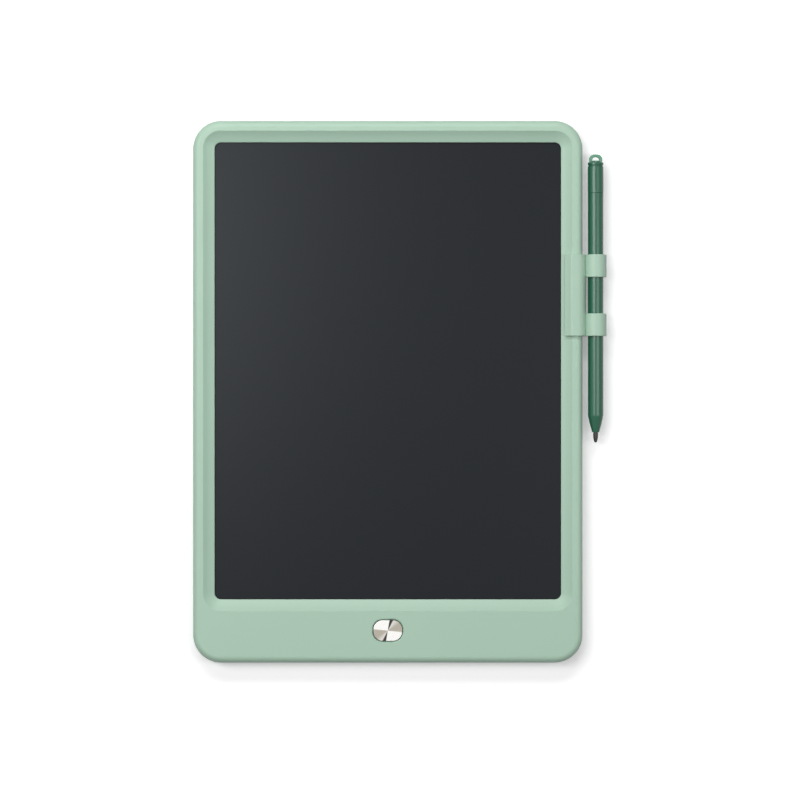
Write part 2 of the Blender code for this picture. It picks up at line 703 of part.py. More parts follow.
def screen_layers(gasket_material, film_material, backing_material, plate_material):
    """The gasket, writing film, backing sheet and support plate, stacked under the lip."""
    gasket = block_under("screen_gasket", GASKET_TOP, GASKET_THICKNESS)
    window = opening_outline(0.0)
    overrun = GASKET_THICKNESS
    cut(gasket, loft("gasket_window", [
        (window, GASKET_TOP - GASKET_THICKNESS - overrun), (window, GASKET_TOP + overrun),
    ]))
    dress(gasket, gasket_material)
    dress(block_under("writing_film", FILM_TOP, FILM_THICKNESS), film_material)
    dress(block_under("backing_sheet", BACKING_TOP, BACKING_THICKNESS), backing_material)
    dress(block_under("support_plate", PLATE_TOP, PLATE_THICKNESS), plate_material)


def block_under(name, top, thickness):
    """One layer of the screen, its upper face at top."""
    return centred_block(
        name, (0.0, OPENING_Y, top - thickness), (FILM_WIDTH, FILM_LENGTH, thickness), FILM_CORNER,
        steps=CORNER_STEPS,
    )


def coin_cell(material):
    """A flat coin cell: its can stands out below, on the side of the door."""
    profile = (
        (0.0, CELL_TOP), (CELL_RADIUS - CELL_CAN_STEP, CELL_TOP),
        (CELL_RADIUS - CELL_CAN_STEP, CELL_TOP - PART_EDGE), (CELL_RADIUS, CELL_TOP - PART_EDGE),
        (CELL_RADIUS, CELL_BOTTOM + PART_EDGE), (CELL_RADIUS - PART_EDGE, CELL_BOTTOM), (0.0, CELL_BOTTOM),
    )
    cell = turned("coin_cell", profile, LARGE_ROUND_STEPS, place=(CELL_X, CELL_Y, 0.0))
    return dress(cell, material, smooth=True)


def contacts(material):
    """The leaf over the cell's inner face and the angle at its rim, both under the board."""
    negative_left = CELL_X + NEGATIVE_SHIFT - NEGATIVE_LENGTH / 2
    half = NEGATIVE_WIDTH / 2
    dress(block(
        "contact_negative", (negative_left, CELL_Y - half, CONTACT_BOTTOM),
        (negative_left + NEGATIVE_LENGTH, CELL_Y + half, CONTACT_TOP),
    ), material)
    inner = CELL_X - CELL_RADIUS - SEAT_GAP
    outer = inner - CONTACT_THICKNESS
    outline = (
        (inner, CONTACT_TOP), (inner - POSITIVE_FOOT, CONTACT_TOP), (inner - POSITIVE_FOOT, CONTACT_BOTTOM),
        (outer, CONTACT_BOTTOM), (outer, CONTACT_TOP - POSITIVE_DROP), (inner, CONTACT_TOP - POSITIVE_DROP),
    )
    angle = prism("contact_positive", outline, POSITIVE_WIDTH, (0.0, CELL_Y, 0.0), (math.pi / 2, 0.0, 0.0))
    dress(angle, material)


def control_board(material):
    """The circuit board with its two screw holes."""
    board = centred_block(
        "control_board", (BOARD_X, BOARD_Y, BOARD_BOTTOM), (BOARD_WIDTH, BOARD_LENGTH, BOARD_THICKNESS),
        BOARD_CORNER,
    )
    for number, centre in enumerate(BOARD_SCREW_PLACES, 1):
        cut(board, cylinder(
            f"board_hole_{number}", centre, BOARD_BOTTOM - OVERRUN, BOARD_TOP + OVERRUN,
            BOARD_SCREW_SHANK + SEAT_GAP,
        ))
    return dress(board, material)


def board_screw(number, centre, material):
    """A pan-head screw that holds the board on its standoff."""
    head_top = BOARD_PART_BASE + BOARD_SCREW_HEAD_HEIGHT
    end = BOARD_BOTTOM - SEAT_GAP - BOARD_SCREW_DEPTH
    profile = (
        (0.0, head_top), (BOARD_SCREW_HEAD - PART_EDGE, head_top), (BOARD_SCREW_HEAD, head_top - PART_EDGE),
        (BOARD_SCREW_HEAD, BOARD_PART_BASE), (BOARD_SCREW_SHANK, BOARD_PART_BASE),
        (BOARD_SCREW_SHANK, end), (0.0, end),
    )
    name = f"board_screw_{number}"
    screw = turned(name, profile, SMALL_ROUND_STEPS, place=(*centre, 0.0))
    cut(screw, *cross_recess(name, centre, head_top, -1))
    return dress(screw, material, smooth=True)


def on_board(shares):
    """A place on the board from its shares of the board's length and width."""
    return BOARD_X + shares[0] * BOARD_WIDTH, BOARD_Y + shares[1] * BOARD_LENGTH


def board_parts(chip_material, coil_material, capacitor_material):
    """The driver, the step-up coil and the two capacitors on the board."""
    chip_place = (*on_board(CHIP_PLACE_SHARES), BOARD_PART_BASE)
    dress(centred_block("driver_chip", chip_place, CHIP_SIZE, edge=PART_EDGE), chip_material)
    centre = on_board(INDUCTOR_PLACE_SHARES)
    top = BOARD_PART_BASE + INDUCTOR_HEIGHT
    dress(cylinder("boost_inductor", centre, BOARD_PART_BASE, top, INDUCTOR_RADIUS), coil_material, smooth=True)
    for number, shares in enumerate(CAPACITOR_PLACE_SHARES, 1):
        place = (*on_board(shares), BOARD_PART_BASE)
        dress(centred_block(f"capacitor_{number}", place, CAPACITOR_SIZE, edge=PART_EDGE), capacitor_material)


def film_tail(tail_material, connector_material):
    """The film's flexible tail, which steps up into the slot of its connector on the board."""
    low = FILM_TOP - TAIL_DROP - TAIL_THICKNESS
    high = BOARD_PART_BASE + SEAT_GAP
    board_edge = BOARD_Y + BOARD_LENGTH / 2
    connector_top_y = board_edge - CONNECTOR_EDGE_INSET
    connector = centred_block(
        "tail_connector", (TAIL_X, connector_top_y - CONNECTOR_LENGTH / 2, BOARD_PART_BASE),
        (CONNECTOR_WIDTH, CONNECTOR_LENGTH, CONNECTOR_HEIGHT), edge=PART_EDGE,
    )
    half = TAIL_WIDTH / 2 + SEAT_GAP
    cut(connector, block(
        "tail_slot", (TAIL_X - half, connector_top_y - TAIL_BITE - SEAT_GAP, high - SEAT_GAP / 2),
        (TAIL_X + half, connector_top_y + OVERRUN, high + TAIL_THICKNESS + SEAT_GAP / 2),
    ))
    dress(connector, connector_material)
    start = FILM_END_Y - SEAT_GAP
    bend = start - TAIL_LEAD
    end = connector_top_y - TAIL_BITE
    outline = (
        (start, low), (start, low + TAIL_THICKNESS), (bend, low + TAIL_THICKNESS),
        (connector_top_y + SEAT_GAP, high + TAIL_THICKNESS), (end, high + TAIL_THICKNESS), (end, high),
        (connector_top_y + SEAT_GAP, high), (bend, low),
    )
    tail = prism(
        "flex_tail", outline, TAIL_WIDTH, (TAIL_X, 0.0, 0.0), (math.pi / 2, 0.0, math.pi / 2),
    )
    return dress(tail, tail_material)


def erase_button(metal, carrier_material, switch_material, plunger_material):
    """The metal cap, its carrier with the flange under the chin, and the push switch below."""
    width, length = BUTTON_WIDTH, BUTTON_LENGTH
    cap = loft("erase_button", [
        (rounded_outline(width, length, BUTTON_CORNER, BUTTON_Y), BUTTON_BOTTOM),
        (rounded_outline(width, length, BUTTON_CORNER, BUTTON_Y), BUTTON_TOP - BUTTON_EDGE),
        (rounded_outline(
            width - 2 * BUTTON_EDGE, length - 2 * BUTTON_EDGE, BUTTON_CORNER - BUTTON_EDGE, BUTTON_Y,
        ), BUTTON_TOP),
    ])
    dress(cap, metal)
    wide = 2 * (BUTTON_GAP + FLANGE_REACH)
    slim = 2 * NECK_INSET
    flange = rounded_outline(width + wide, length + wide, BUTTON_CORNER + wide / 2, BUTTON_Y)
    neck = rounded_outline(width - slim, length - slim, BUTTON_CORNER - slim / 2, BUTTON_Y)
    carrier = loft("button_carrier", [
        (flange, FLANGE_BOTTOM), (flange, FLANGE_TOP), (neck, FLANGE_TOP), (neck, BUTTON_BOTTOM - SEAT_GAP),
    ])
    dress(carrier, carrier_material)
    body = centred_block(
        "tact_switch", (0.0, BUTTON_Y, BOARD_PART_BASE), (SWITCH_SIZE, SWITCH_SIZE, SWITCH_HEIGHT), SWITCH_CORNER,
    )
    cut(body, cylinder(
        "plunger_well", (0.0, BUTTON_Y), PLUNGER_WELL_FLOOR, SWITCH_TOP + OVERRUN, PLUNGER_RADIUS + SEAT_GAP,
    ))
    dress(body, switch_material)
    plunger = cylinder("tact_plunger", (0.0, BUTTON_Y), PLUNGER_BOTTOM, PLUNGER_TOP, PLUNGER_RADIUS)
    dress(plunger, plunger_material, smooth=True)


def erase_lock(slider_material, switch_material):
    """The slider in the back that locks erasing, with its switch and lever under the board."""
    flange_base = FLOOR_THICKNESS + SEAT_GAP
    flange_top = flange_base + SLIDER_FLANGE_THICKNESS
    slider = centred_block(
        "lock_slider", (LOCK_X, LOCK_Y, flange_base),
        (SLIDER_FLANGE_LENGTH, SLIDER_FLANGE_WIDTH, SLIDER_FLANGE_THICKNESS),
    )
    knob_height = flange_base + SLIDER_FLANGE_THICKNESS / 2 - KNOB_RECESS
    join(slider, centred_block(
        "knob", (LOCK_X, LOCK_Y, KNOB_RECESS), (KNOB_LENGTH, KNOB_WIDTH, knob_height),
    ))
    pitch = KNOB_LENGTH / (KNOB_RIDGES + 1)
    for number in range(KNOB_RIDGES):
        x = LOCK_X + (number - (KNOB_RIDGES - 1) / 2) * pitch
        cut(slider, block(
            f"knob_groove_{number}", (x - KNOB_RIDGE / 2, LOCK_Y - KNOB_WIDTH, KNOB_RECESS - OVERRUN),
            (x + KNOB_RIDGE / 2, LOCK_Y + KNOB_WIDTH, KNOB_RECESS + KNOB_RIDGE_DEPTH),
        ))
    dress(slider, slider_material)
    switch_top = BOARD_BOTTOM - SEAT_GAP
    switch_base = flange_top + SEAT_GAP + LEVER_BITE
    switch_centre_x = LOCK_X + LOCK_TRAVEL / 2
    switch = centred_block(
        "lock_switch", (switch_centre_x, LOCK_Y, switch_base),
        (LOCK_SWITCH_LENGTH, LOCK_SWITCH_WIDTH, switch_top - switch_base),
    )
    room_x, room_y = LEVER_LENGTH / 2 + SEAT_GAP, LEVER_WIDTH / 2 + SEAT_GAP
    cut(switch, block(
        "lever_slot", (LOCK_X - room_x, LOCK_Y - room_y, switch_base - OVERRUN),
        (LOCK_X + room_x + LOCK_TRAVEL, LOCK_Y + room_y, switch_base + LEVER_BITE + SEAT_GAP),
    ))
    dress(switch, switch_material)
    lever_base = flange_top + SEAT_GAP
    dress(centred_block(
        "lock_switch_lever", (LOCK_X, LOCK_Y, lever_base), (LEVER_LENGTH, LEVER_WIDTH, 2 * LEVER_BITE),
    ), slider_material)


def dish_offset(share, offset):
    """A point above the dished slope by offset along its normal, as distance from the opening and height."""
    out, height = dish_point(share)
    fall = dish_fall(share)
    slant = math.hypot(fall, DISH_WIDTH)
    return OPENING_WIDTH / 2 + out - offset * fall / slant, height + offset * DISH_WIDTH / slant


def arc(centre, radii, start, end, steps):
    """Points on an elliptical arc between two angles in degrees."""
    points = []
    for step in range(steps + 1):
        angle = math.radians(start + (end - start) * step / steps)
        points.append((centre[0] + radii[0] * math.cos(angle), centre[1] + radii[1] * math.sin(angle)))
    return points


def clip_path(offset, lower_offset):
    """The frame's section from the dish over the crest and down round the back edge, grown by offset."""
    last_share = 1 - CLIP_LIP_REACH / DISH_WIDTH
    path = [dish_offset(last_share * (1 - step / DISH_STEPS), offset) for step in range(DISH_STEPS + 1)]
    crest = (OPENING_WIDTH / 2 + DISH_WIDTH, BODY_HEIGHT)
    lean = math.degrees(math.atan2(DISH_WIDTH, -dish_fall(0.0)))
    path += arc(crest, (offset, offset), lean, 90, EDGE_STEPS)[1:]
    top = (BODY_WIDTH / 2 - ROUND_OVER, BODY_HEIGHT - ROUND_OVER)
    path += arc(top, (ROUND_OVER + offset, ROUND_OVER + offset), 90, 0, ROUND_OVER_STEPS)
    low = (BODY_WIDTH / 2 - EDGE_ROUND, BORDER_STEP + EDGE_ROUND)
    path += arc(low, (EDGE_ROUND + offset, EDGE_ROUND + lower_offset), 0, -90, EDGE_STEPS)
    path.append((BODY_WIDTH / 2 - CLIP_LOWER_REACH, BORDER_STEP - lower_offset))
    return path


def pen_clip(material):
    """The C-shaped clip on the right edge with the two loops that hold the pen."""
    inner = clip_path(CLIP_GAP, CLIP_GAP)
    outer = clip_path(CLIP_GAP + CLIP_WALL, CLIP_GAP + CLIP_LIP_THICKNESS)
    clip = prism("pen_clip", inner + outer[::-1], CLIP_LENGTH, (0.0, CLIP_Y, 0.0), (math.pi / 2, 0.0, 0.0))
    half = LOOP_LENGTH / 2
    for side in (-1, 1):
        place = (PEN_X, CLIP_Y + side * LOOP_SPREAD, PEN_HEIGHT)
        loop = cylinder(f"loop_{side}", (0.0, 0.0), -half, half, LOOP_RADIUS, LARGE_ROUND_STEPS)
        loop.location, loop.rotation_euler = place, ALONG_Y
        join(clip, loop)
    for side in (-1, 1):
        place = (PEN_X, CLIP_Y + side * LOOP_SPREAD, PEN_HEIGHT)
        reach = half + OVERRUN
        bore = cylinder(f"loop_bore_{side}", (0.0, 0.0), -reach, reach, LOOP_BORE, LARGE_ROUND_STEPS)
        bore.location, bore.rotation_euler = place, ALONG_Y
        cut(clip, bore)
    return dress(clip, material, smooth=True)


def pen_turned(name, profile, steps, material):
    """A turned piece of the pen, its heights measured along the tablet's Y."""
    piece = turned(name, profile, steps, place=(PEN_X, 0.0, PEN_HEIGHT), turn=ALONG_Y)
    return dress(piece, material, smooth=True)


def pen_barrel(material):
    """The hollow barrel with its cone."""
    bore_end = CONE_START_Y + PEN_BORE
    pen_turned("pen_barrel", (
        (PEN_RADIUS, BARREL_TOP_Y), (PEN_RADIUS, CONE_START_Y), (CONE_END_RADIUS, CONE_END_Y),
        (CONE_BORE, CONE_END_Y), (CONE_BORE, bore_end), (PEN_BORE, bore_end + PEN_BORE), (PEN_BORE, BARREL_TOP_Y),
    ), PEN_STEPS, material)


def pen_nib(material):
    """The writing nib with its round end, and the shank that sits in the cone."""
    shoulder = CONE_END_Y - SEAT_GAP
    tip = CONE_END_Y - NIB_LENGTH
    shank_end = CONE_END_Y + NIB_SHANK_LENGTH
    profile = [
        (0.0, shank_end), (NIB_SHANK_RADIUS, shank_end), (NIB_SHANK_RADIUS, shoulder), (NIB_RADIUS, shoulder),
    ]
    profile += arc((0.0, tip + NIB_TIP_RADIUS), (NIB_TIP_RADIUS, NIB_TIP_RADIUS), 0, -90, EDGE_STEPS)[:-1]
    profile.append((0.0, tip))
    pen_turned("pen_nib", profile, NIB_STEPS, material)


def pen_end_cap(material):
    """The end cap: ring groove, spigot in the barrel and the hole for the eye's stem."""
    hole = EYE_STEM_RADIUS + SEAT_GAP
    hole_end = CAP_TOP_Y - EYE_STEM_LENGTH
    groove_top = CAP_TOP_Y - CAP_GROOVE_DROP + CAP_GROOVE_WIDTH / 2
    groove_end = groove_top - CAP_GROOVE_WIDTH
    groove = PEN_CAP_RADIUS - CAP_GROOVE_DEPTH
    pen_turned("pen_end_cap", (
        (0.0, hole_end), (hole, hole_end), (hole, CAP_TOP_Y), (PEN_CAP_RADIUS - CAP_EDGE, CAP_TOP_Y),
        (PEN_CAP_RADIUS, CAP_TOP_Y - CAP_EDGE), (PEN_CAP_RADIUS, groove_top), (groove, groove_top),
        (groove, groove_end), (PEN_CAP_RADIUS, groove_end), (PEN_CAP_RADIUS, CAP_END_Y),
        (SPIGOT_RADIUS, CAP_END_Y), (SPIGOT_RADIUS, CAP_END_Y - SPIGOT_LENGTH), (0.0, CAP_END_Y - SPIGOT_LENGTH),
    ), PEN_STEPS, material)


def pen_eye(material):
    """The flat eye at the pen's end, with a half-round hole for a cord and a stem in the cap."""
    base = CAP_TOP_Y + SEAT_GAP
    half = EYE_WIDTH / 2
    corner = (EYE_CORNER, EYE_CORNER)
    shoulder = PEN_TOP_Y - EYE_CORNER
    outline = [(-half, base), (half, base)]
    outline += arc((half - EYE_CORNER, shoulder), corner, 0, 90, EDGE_STEPS)
    outline += arc((EYE_CORNER - half, shoulder), corner, 90, 180, EDGE_STEPS)
    eye = prism("pen_eye", outline, EYE_THICKNESS, (PEN_X, 0.0, PEN_HEIGHT), (0.0, 0.0, 0.0))
    sill = base + EYE_HOLE_RISE
    hole = arc((0.0, sill), (EYE_HOLE_WIDTH / 2, EYE_HOLE_HEIGHT), 0, 180, 2 * EDGE_STEPS)
    depth = EYE_THICKNESS + 2 * OVERRUN
    cut(eye, prism("eye_hole", hole, depth, (PEN_X, 0.0, PEN_HEIGHT), (0.0, 0.0, 0.0)))
    stem_end = base - EYE_STEM_LENGTH + SEAT_GAP
    stem = cylinder("eye_stem", (0.0, 0.0), stem_end, base + EYE_HOLE_RISE / 2, EYE_STEM_RADIUS, NIB_STEPS)
    stem.location, stem.rotation_euler = (PEN_X, 0.0, PEN_HEIGHT), ALONG_Y
    join(eye, stem)
    return dress(eye, material)


def shade(red, green, blue):
    """A display colour of 0 to 255 a channel as the linear colour that a shader takes."""
    channels = (value / 255 for value in (red, green, blue))
    return tuple(c / 12.92 if c <= 0.04045 else ((c + 0.055) / 1.055) ** 2.4 for c in channels)


def build():
    """Model every piece of the tablet, its clip and its pen."""
    sage = new_material("sage_plastic", shade(171, 199, 180), 0.42)
    steel = new_material("screw_steel", shade(150, 150, 150), 0.35, 1.0)
    dark = new_material("dark_plastic", shade(40, 42, 44), 0.5)
    cream = new_material("cream_plastic", shade(205, 200, 186), 0.5)
    spring = new_material("spring_metal", shade(205, 195, 170), 0.3, 1.0)
    film = new_material("writing_surface", shade(49, 52, 55), 0.25)
    backing = new_material("black_sheet", shade(20, 21, 22), 0.8)
    board = new_material("board_green", shade(30, 92, 56), 0.45)
    tail = new_material("tail_amber", shade(176, 116, 40), 0.4)
    metal = new_material("spun_metal", shade(196, 192, 184), 0.28, 1.0)
    gap_green = new_material("deep_green_plastic", shade(70, 104, 84), 0.5)
    green = new_material("pen_green_plastic", shade(36, 96, 74), 0.35)
    pale_green = new_material("eye_green_plastic", shade(84, 140, 114), 0.4)
    nib = new_material("nib_plastic", shade(40, 35, 30), 0.45)
    front_frame(sage)
    back_cover(sage)
    battery_door(sage)
    back_screw("battery_door_screw", (DOOR_SCREW_X, CELL_Y), DOOR_RECESS + SCREW_RECESS, DOOR_SCREW_LENGTH, steel)
    for number, centre in enumerate(screw_places(), 1):
        back_screw(f"housing_screw_{number}", centre, BORDER_STEP + SCREW_RECESS, SCREW_LENGTH, steel)
    screen_layers(dark, film, backing, dark)
    coin_cell(steel)
    contacts(spring)
    control_board(board)
    for number, centre in enumerate(BOARD_SCREW_PLACES, 1):
        board_screw(number, centre, steel)
    board_parts(dark, dark, cream)
    film_tail(tail, cream)
    erase_button(metal, gap_green, dark, cream)
    erase_lock(dark, steel)
    pen_clip(sage)
    pen_barrel(green)
    pen_nib(nib)
    pen_end_cap(green)
    pen_eye(pale_green)


clear_scene()
PARTS = new_collection("drawing_tablet")
CUTTERS = new_collection("cutters")
build()
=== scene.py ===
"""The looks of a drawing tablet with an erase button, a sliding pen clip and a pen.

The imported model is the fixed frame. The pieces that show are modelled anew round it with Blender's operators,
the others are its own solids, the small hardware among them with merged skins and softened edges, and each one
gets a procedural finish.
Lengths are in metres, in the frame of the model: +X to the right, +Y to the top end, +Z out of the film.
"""

from __future__ import annotations

import json
import logging
import math
from contextlib import contextmanager
from dataclasses import dataclass
from enum import Enum
from typing import Callable, Iterator, Sequence

import bpy
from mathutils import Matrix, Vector

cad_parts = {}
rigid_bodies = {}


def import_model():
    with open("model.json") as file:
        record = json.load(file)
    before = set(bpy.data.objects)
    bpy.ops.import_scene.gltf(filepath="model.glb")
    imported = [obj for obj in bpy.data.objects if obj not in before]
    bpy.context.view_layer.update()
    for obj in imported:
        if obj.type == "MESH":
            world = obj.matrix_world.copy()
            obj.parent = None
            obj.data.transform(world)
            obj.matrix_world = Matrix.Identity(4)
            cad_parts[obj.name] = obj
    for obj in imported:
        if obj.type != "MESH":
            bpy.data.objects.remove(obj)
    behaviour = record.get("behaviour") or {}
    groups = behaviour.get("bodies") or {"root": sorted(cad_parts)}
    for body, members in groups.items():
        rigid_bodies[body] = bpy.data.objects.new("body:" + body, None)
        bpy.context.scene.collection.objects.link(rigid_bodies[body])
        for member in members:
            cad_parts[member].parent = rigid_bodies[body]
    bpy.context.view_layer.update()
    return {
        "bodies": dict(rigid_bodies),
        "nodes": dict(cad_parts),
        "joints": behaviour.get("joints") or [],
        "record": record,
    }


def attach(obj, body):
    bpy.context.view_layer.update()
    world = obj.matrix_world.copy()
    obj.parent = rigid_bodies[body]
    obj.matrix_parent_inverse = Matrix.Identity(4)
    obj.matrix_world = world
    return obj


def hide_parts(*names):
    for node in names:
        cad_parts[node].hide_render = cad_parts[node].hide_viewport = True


LOG = logging.getLogger("drawing_tablet")

# Points closer than this count as one.
TINY = 0.000002
# How far a cutting piece reaches past what it cuts.
OVERRUN = 0.001
# Least cosine between two directions that count as one.
ALIGNED = 0.995
UP = (0.0, 0.0, 1.0)
DOWN = (0.0, 0.0, -1.0)
QUARTER = math.pi / 2
# Middle of the erase button, seen from the front.
BUTTON = (0.0, -0.1056)
# Place of the pen's axis, across and up.
PEN_AXIS = (0.0921, 0.007)

Colour = tuple[float, float, float, float]
Pair = tuple[float, float]
Test = Callable[[Vector, Vector], bool]


def shade(red: float, green: float, blue: float) -> Colour:
    """Turn a display colour of 0 to 255 a channel into the linear colour of a shader.

    Args:
        red: Red channel.
        green: Green channel.
        blue: Blue channel.

    Returns:
        The linear colour with an alpha of 1.
    """
    linear = []
    for channel in (red, green, blue):
        part = channel / 255
        linear.append(part / 12.92 if part <= 0.04045 else ((part + 0.055) / 1.055) ** 2.4)
    return (*linear, 1.0)


def scaled(colour: Colour, share: float) -> Colour:
    """Multiply a colour by a share, up to white."""
    return (*(min(1.0, part * share) for part in colour[:3]), 1.0)


def arc(middle: Pair, radius: float, first: float, last: float, steps: int) -> list[Pair]:
    """List the points of an arc, both ends included.

    Args:
        middle: Its centre.
        radius: Its radius.
        first: Angle of its first point.
        last: Angle of its last point.
        steps: Number of chords.

    Returns:
        The points.
    """
    turns = [first + (last - first) * step / steps for step in range(steps + 1)]
    return [(middle[0] + radius * math.cos(turn), middle[1] + radius * math.sin(turn)) for turn in turns]


class Signal:
    """A shader socket that takes part in Python expressions."""

    def __init__(self, graph: Graph, socket: bpy.types.NodeSocket) -> None:
        """Wrap an output socket of a graph."""
        self.graph = graph
        self.socket = socket

    def function(self, operation: str, *others: Signal | float) -> Signal:
        """Add a Math node, such as ARCTAN2 or MAXIMUM, with this signal as its first operand."""
        node = self.graph.node("ShaderNodeMath", {"operation": operation}, dict(enumerate((self, *others))))
        return self.graph.signal(node)

    def reflected(self, operation: str, other: float) -> Signal:
        """Add a Math node with a number as its first operand and this signal as its second."""
        node = self.graph.node("ShaderNodeMath", {"operation": operation}, {0: other, 1: self})
        return self.graph.signal(node)

    def __add__(self, other: Signal | float) -> Signal:
        """Add."""
        return self.function("ADD", other)

    def __radd__(self, other: float) -> Signal:
        """Add to a number."""
        return self.reflected("ADD", other)

    def __sub__(self, other: Signal | float) -> Signal:
        """Subtract."""
        return self.function("SUBTRACT", other)

    def __rsub__(self, other: float) -> Signal:
        """Subtract from a number."""
        return self.reflected("SUBTRACT", other)

    def __mul__(self, other: Signal | float) -> Signal:
        """Multiply."""
        return self.function("MULTIPLY", other)

    def __rmul__(self, other: float) -> Signal:
        """Multiply a number."""
        return self.reflected("MULTIPLY", other)

    def __truediv__(self, other: Signal | float) -> Signal:
        """Divide."""
        return self.function("DIVIDE", other)

    def __rtruediv__(self, other: float) -> Signal:
        """Divide a number."""
        return self.reflected("DIVIDE", other)

    def __pow__(self, other: Signal | float) -> Signal:
        """Raise to a power."""
        return self.function("POWER", other)

    def __rpow__(self, other: float) -> Signal:
        """Raise a number to a power."""
        return self.reflected("POWER", other)


class Graph:
    """The node tree of a material or of the world."""

    def __init__(self, tree: bpy.types.NodeTree) -> None:
        """Take a node tree in hand."""
        self.tree = tree

    def node(self, kind: str, settings: dict | None = None, inputs: dict | None = None) -> bpy.types.Node:
        """Add a node, set its settings and then its sockets.

        Args:
            kind: The node's type.
            settings: Its properties by name; stops holds the (position, colour) pairs of a ramp.
            inputs: Values or signals by socket name or number.

        Returns:
            The new node.
        """
        made = self.tree.nodes.new(kind)
        for key, value in (settings or {}).items():
            if key == "stops":
                self._set_stops(made.color_ramp, value)
            else:
                setattr(made, key, value)
        for key, value in (inputs or {}).items():
            self.feed(made.inputs[key], value)
        return made

    def _set_stops(self, ramp: bpy.types.ColorRamp, stops: Sequence[tuple[float, Colour]]) -> None:
        """Give a colour ramp its stops."""
        while len(ramp.elements) < len(stops):
            ramp.elements.new(0.5)
        for element, (position, colour) in zip(ramp.elements, stops):
            element.position = position
            element.color = colour

    def feed(self, socket: bpy.types.NodeSocket, value: object) -> None:
        """Link a signal to a socket, or set the socket's own value."""
        if isinstance(value, Signal):
            self.tree.links.new(value.socket, socket)
        else:
            socket.default_value = value

    def signal(self, node: bpy.types.Node, output: int | str = 0) -> Signal:
        """Wrap one output of a node."""
        return Signal(self, node.outputs[output])

    def place(self) -> Signal:
        """Object coordinates."""
        return self.signal(self.node("ShaderNodeTexCoord"), "Object")

    def vector(self, operation: str, vector: Signal, other: Sequence[float]) -> Signal:
        """Apply a Vector Math operation with a constant."""
        return self.signal(self.node("ShaderNodeVectorMath", {"operation": operation}, {0: vector, 1: other}))

    def axes(self, vector: Signal) -> tuple[Signal, Signal, Signal]:
        """Split a vector into its three parts."""
        split = self.node("ShaderNodeSeparateXYZ", None, {0: vector})
        return tuple(self.signal(split, number) for number in range(3))

    def noise(self, vector: Signal, size: float, detail: float = 2.0, roughness: float = 0.5) -> Signal:
        """Noise of 0 to 1 whose features are about the given size across."""
        return self.signal(self.node(
            "ShaderNodeTexNoise", {"noise_dimensions": "3D"},
            {"Vector": vector, "Scale": 1 / size, "Detail": detail, "Roughness": roughness},
        ))

    def mix(self, factor: Signal, first: object, second: object) -> Signal:
        """Blend two colours by a factor."""
        mixed = self.node("ShaderNodeMix", {"data_type": "RGBA"}, {0: factor, 6: first, 7: second})
        return self.signal(mixed, 2)

    def spread(self, signal: Signal, low: float, high: float) -> Signal:
        """Turn a signal of 0 to 1 into one between two numbers."""
        return low + (high - low) * signal

    def bump(self, height: Signal, depth: float) -> Signal:
        """A normal from a height of 0 to 1 that stands for the given depth."""
        return self.signal(self.node("ShaderNodeBump", None, {"Height": height, "Distance": depth}))

    def eye_rays(self) -> Signal:
        """1 for the rays that show a surface: seen, mirrored or through something clear."""
        rays = self.node("ShaderNodeLightPath")
        seen = self.signal(rays, "Is Camera Ray").function("MAXIMUM", self.signal(rays, "Is Glossy Ray"))
        return seen.function("MAXIMUM", self.signal(rays, "Is Transmission Ray"))


class Coating(Graph):
    """The node tree of one material, ending in a Principled BSDF."""

    def __init__(self, name: str) -> None:
        """Start an empty material for a finish of the given name."""
        self.material = bpy.data.materials.new(f"{name}_finish")
        self.material.use_nodes = True
        super().__init__(self.material.node_tree)
        self.tree.nodes.clear()
        self.shader = self.node("ShaderNodeBsdfPrincipled")
        self.node("ShaderNodeOutputMaterial", None, {"Surface": self.signal(self.shader)})

    def finish(self, **sockets: object) -> bpy.types.Material:
        """Feed the shader's sockets, named with underscores for spaces, and hand the material over."""
        for key, value in sockets.items():
            self.feed(self.shader.inputs[key.replace("_", " ")], value)
        return self.material


@dataclass(frozen=True)
class MouldedPlastic:
    """Injection-moulded plastic with a fine eroded grain and a faint cloudiness.

    Attributes:
        name: The record's slot.
        colour: Linear base colour.
        roughness: Mean roughness.
        grain: Size of the grain.
        grain_depth: Depth of the grain.
        cloud: Share by which the colour varies.
        cloud_size: Size of the clouds.
        coat: Weight of the gloss of its skin.
    """

    name: str
    colour: Colour
    roughness: float = 0.42
    grain: float = 0.00022
    grain_depth: float = 0.0000022
    cloud: float = 0.03
    cloud_size: float = 0.03
    coat: float = 0.0

    def material(self) -> bpy.types.Material:
        """Build the finish."""
        graph = Coating(self.name)
        place = graph.place()
        grain = graph.noise(place, self.grain, detail=3.0)
        cloud = graph.noise(place, self.cloud_size)
        darker, lighter = scaled(self.colour, 1 - self.cloud), scaled(self.colour, 1 + self.cloud)
        return graph.finish(
            Base_Color=graph.mix(cloud * 0.75 + grain * 0.25, darker, lighter),
            Roughness=graph.spread(grain, self.roughness - 0.05, self.roughness + 0.05),
            Normal=graph.bump(grain, self.grain_depth), Coat_Weight=self.coat, Coat_Roughness=0.22, IOR=1.47,
        )


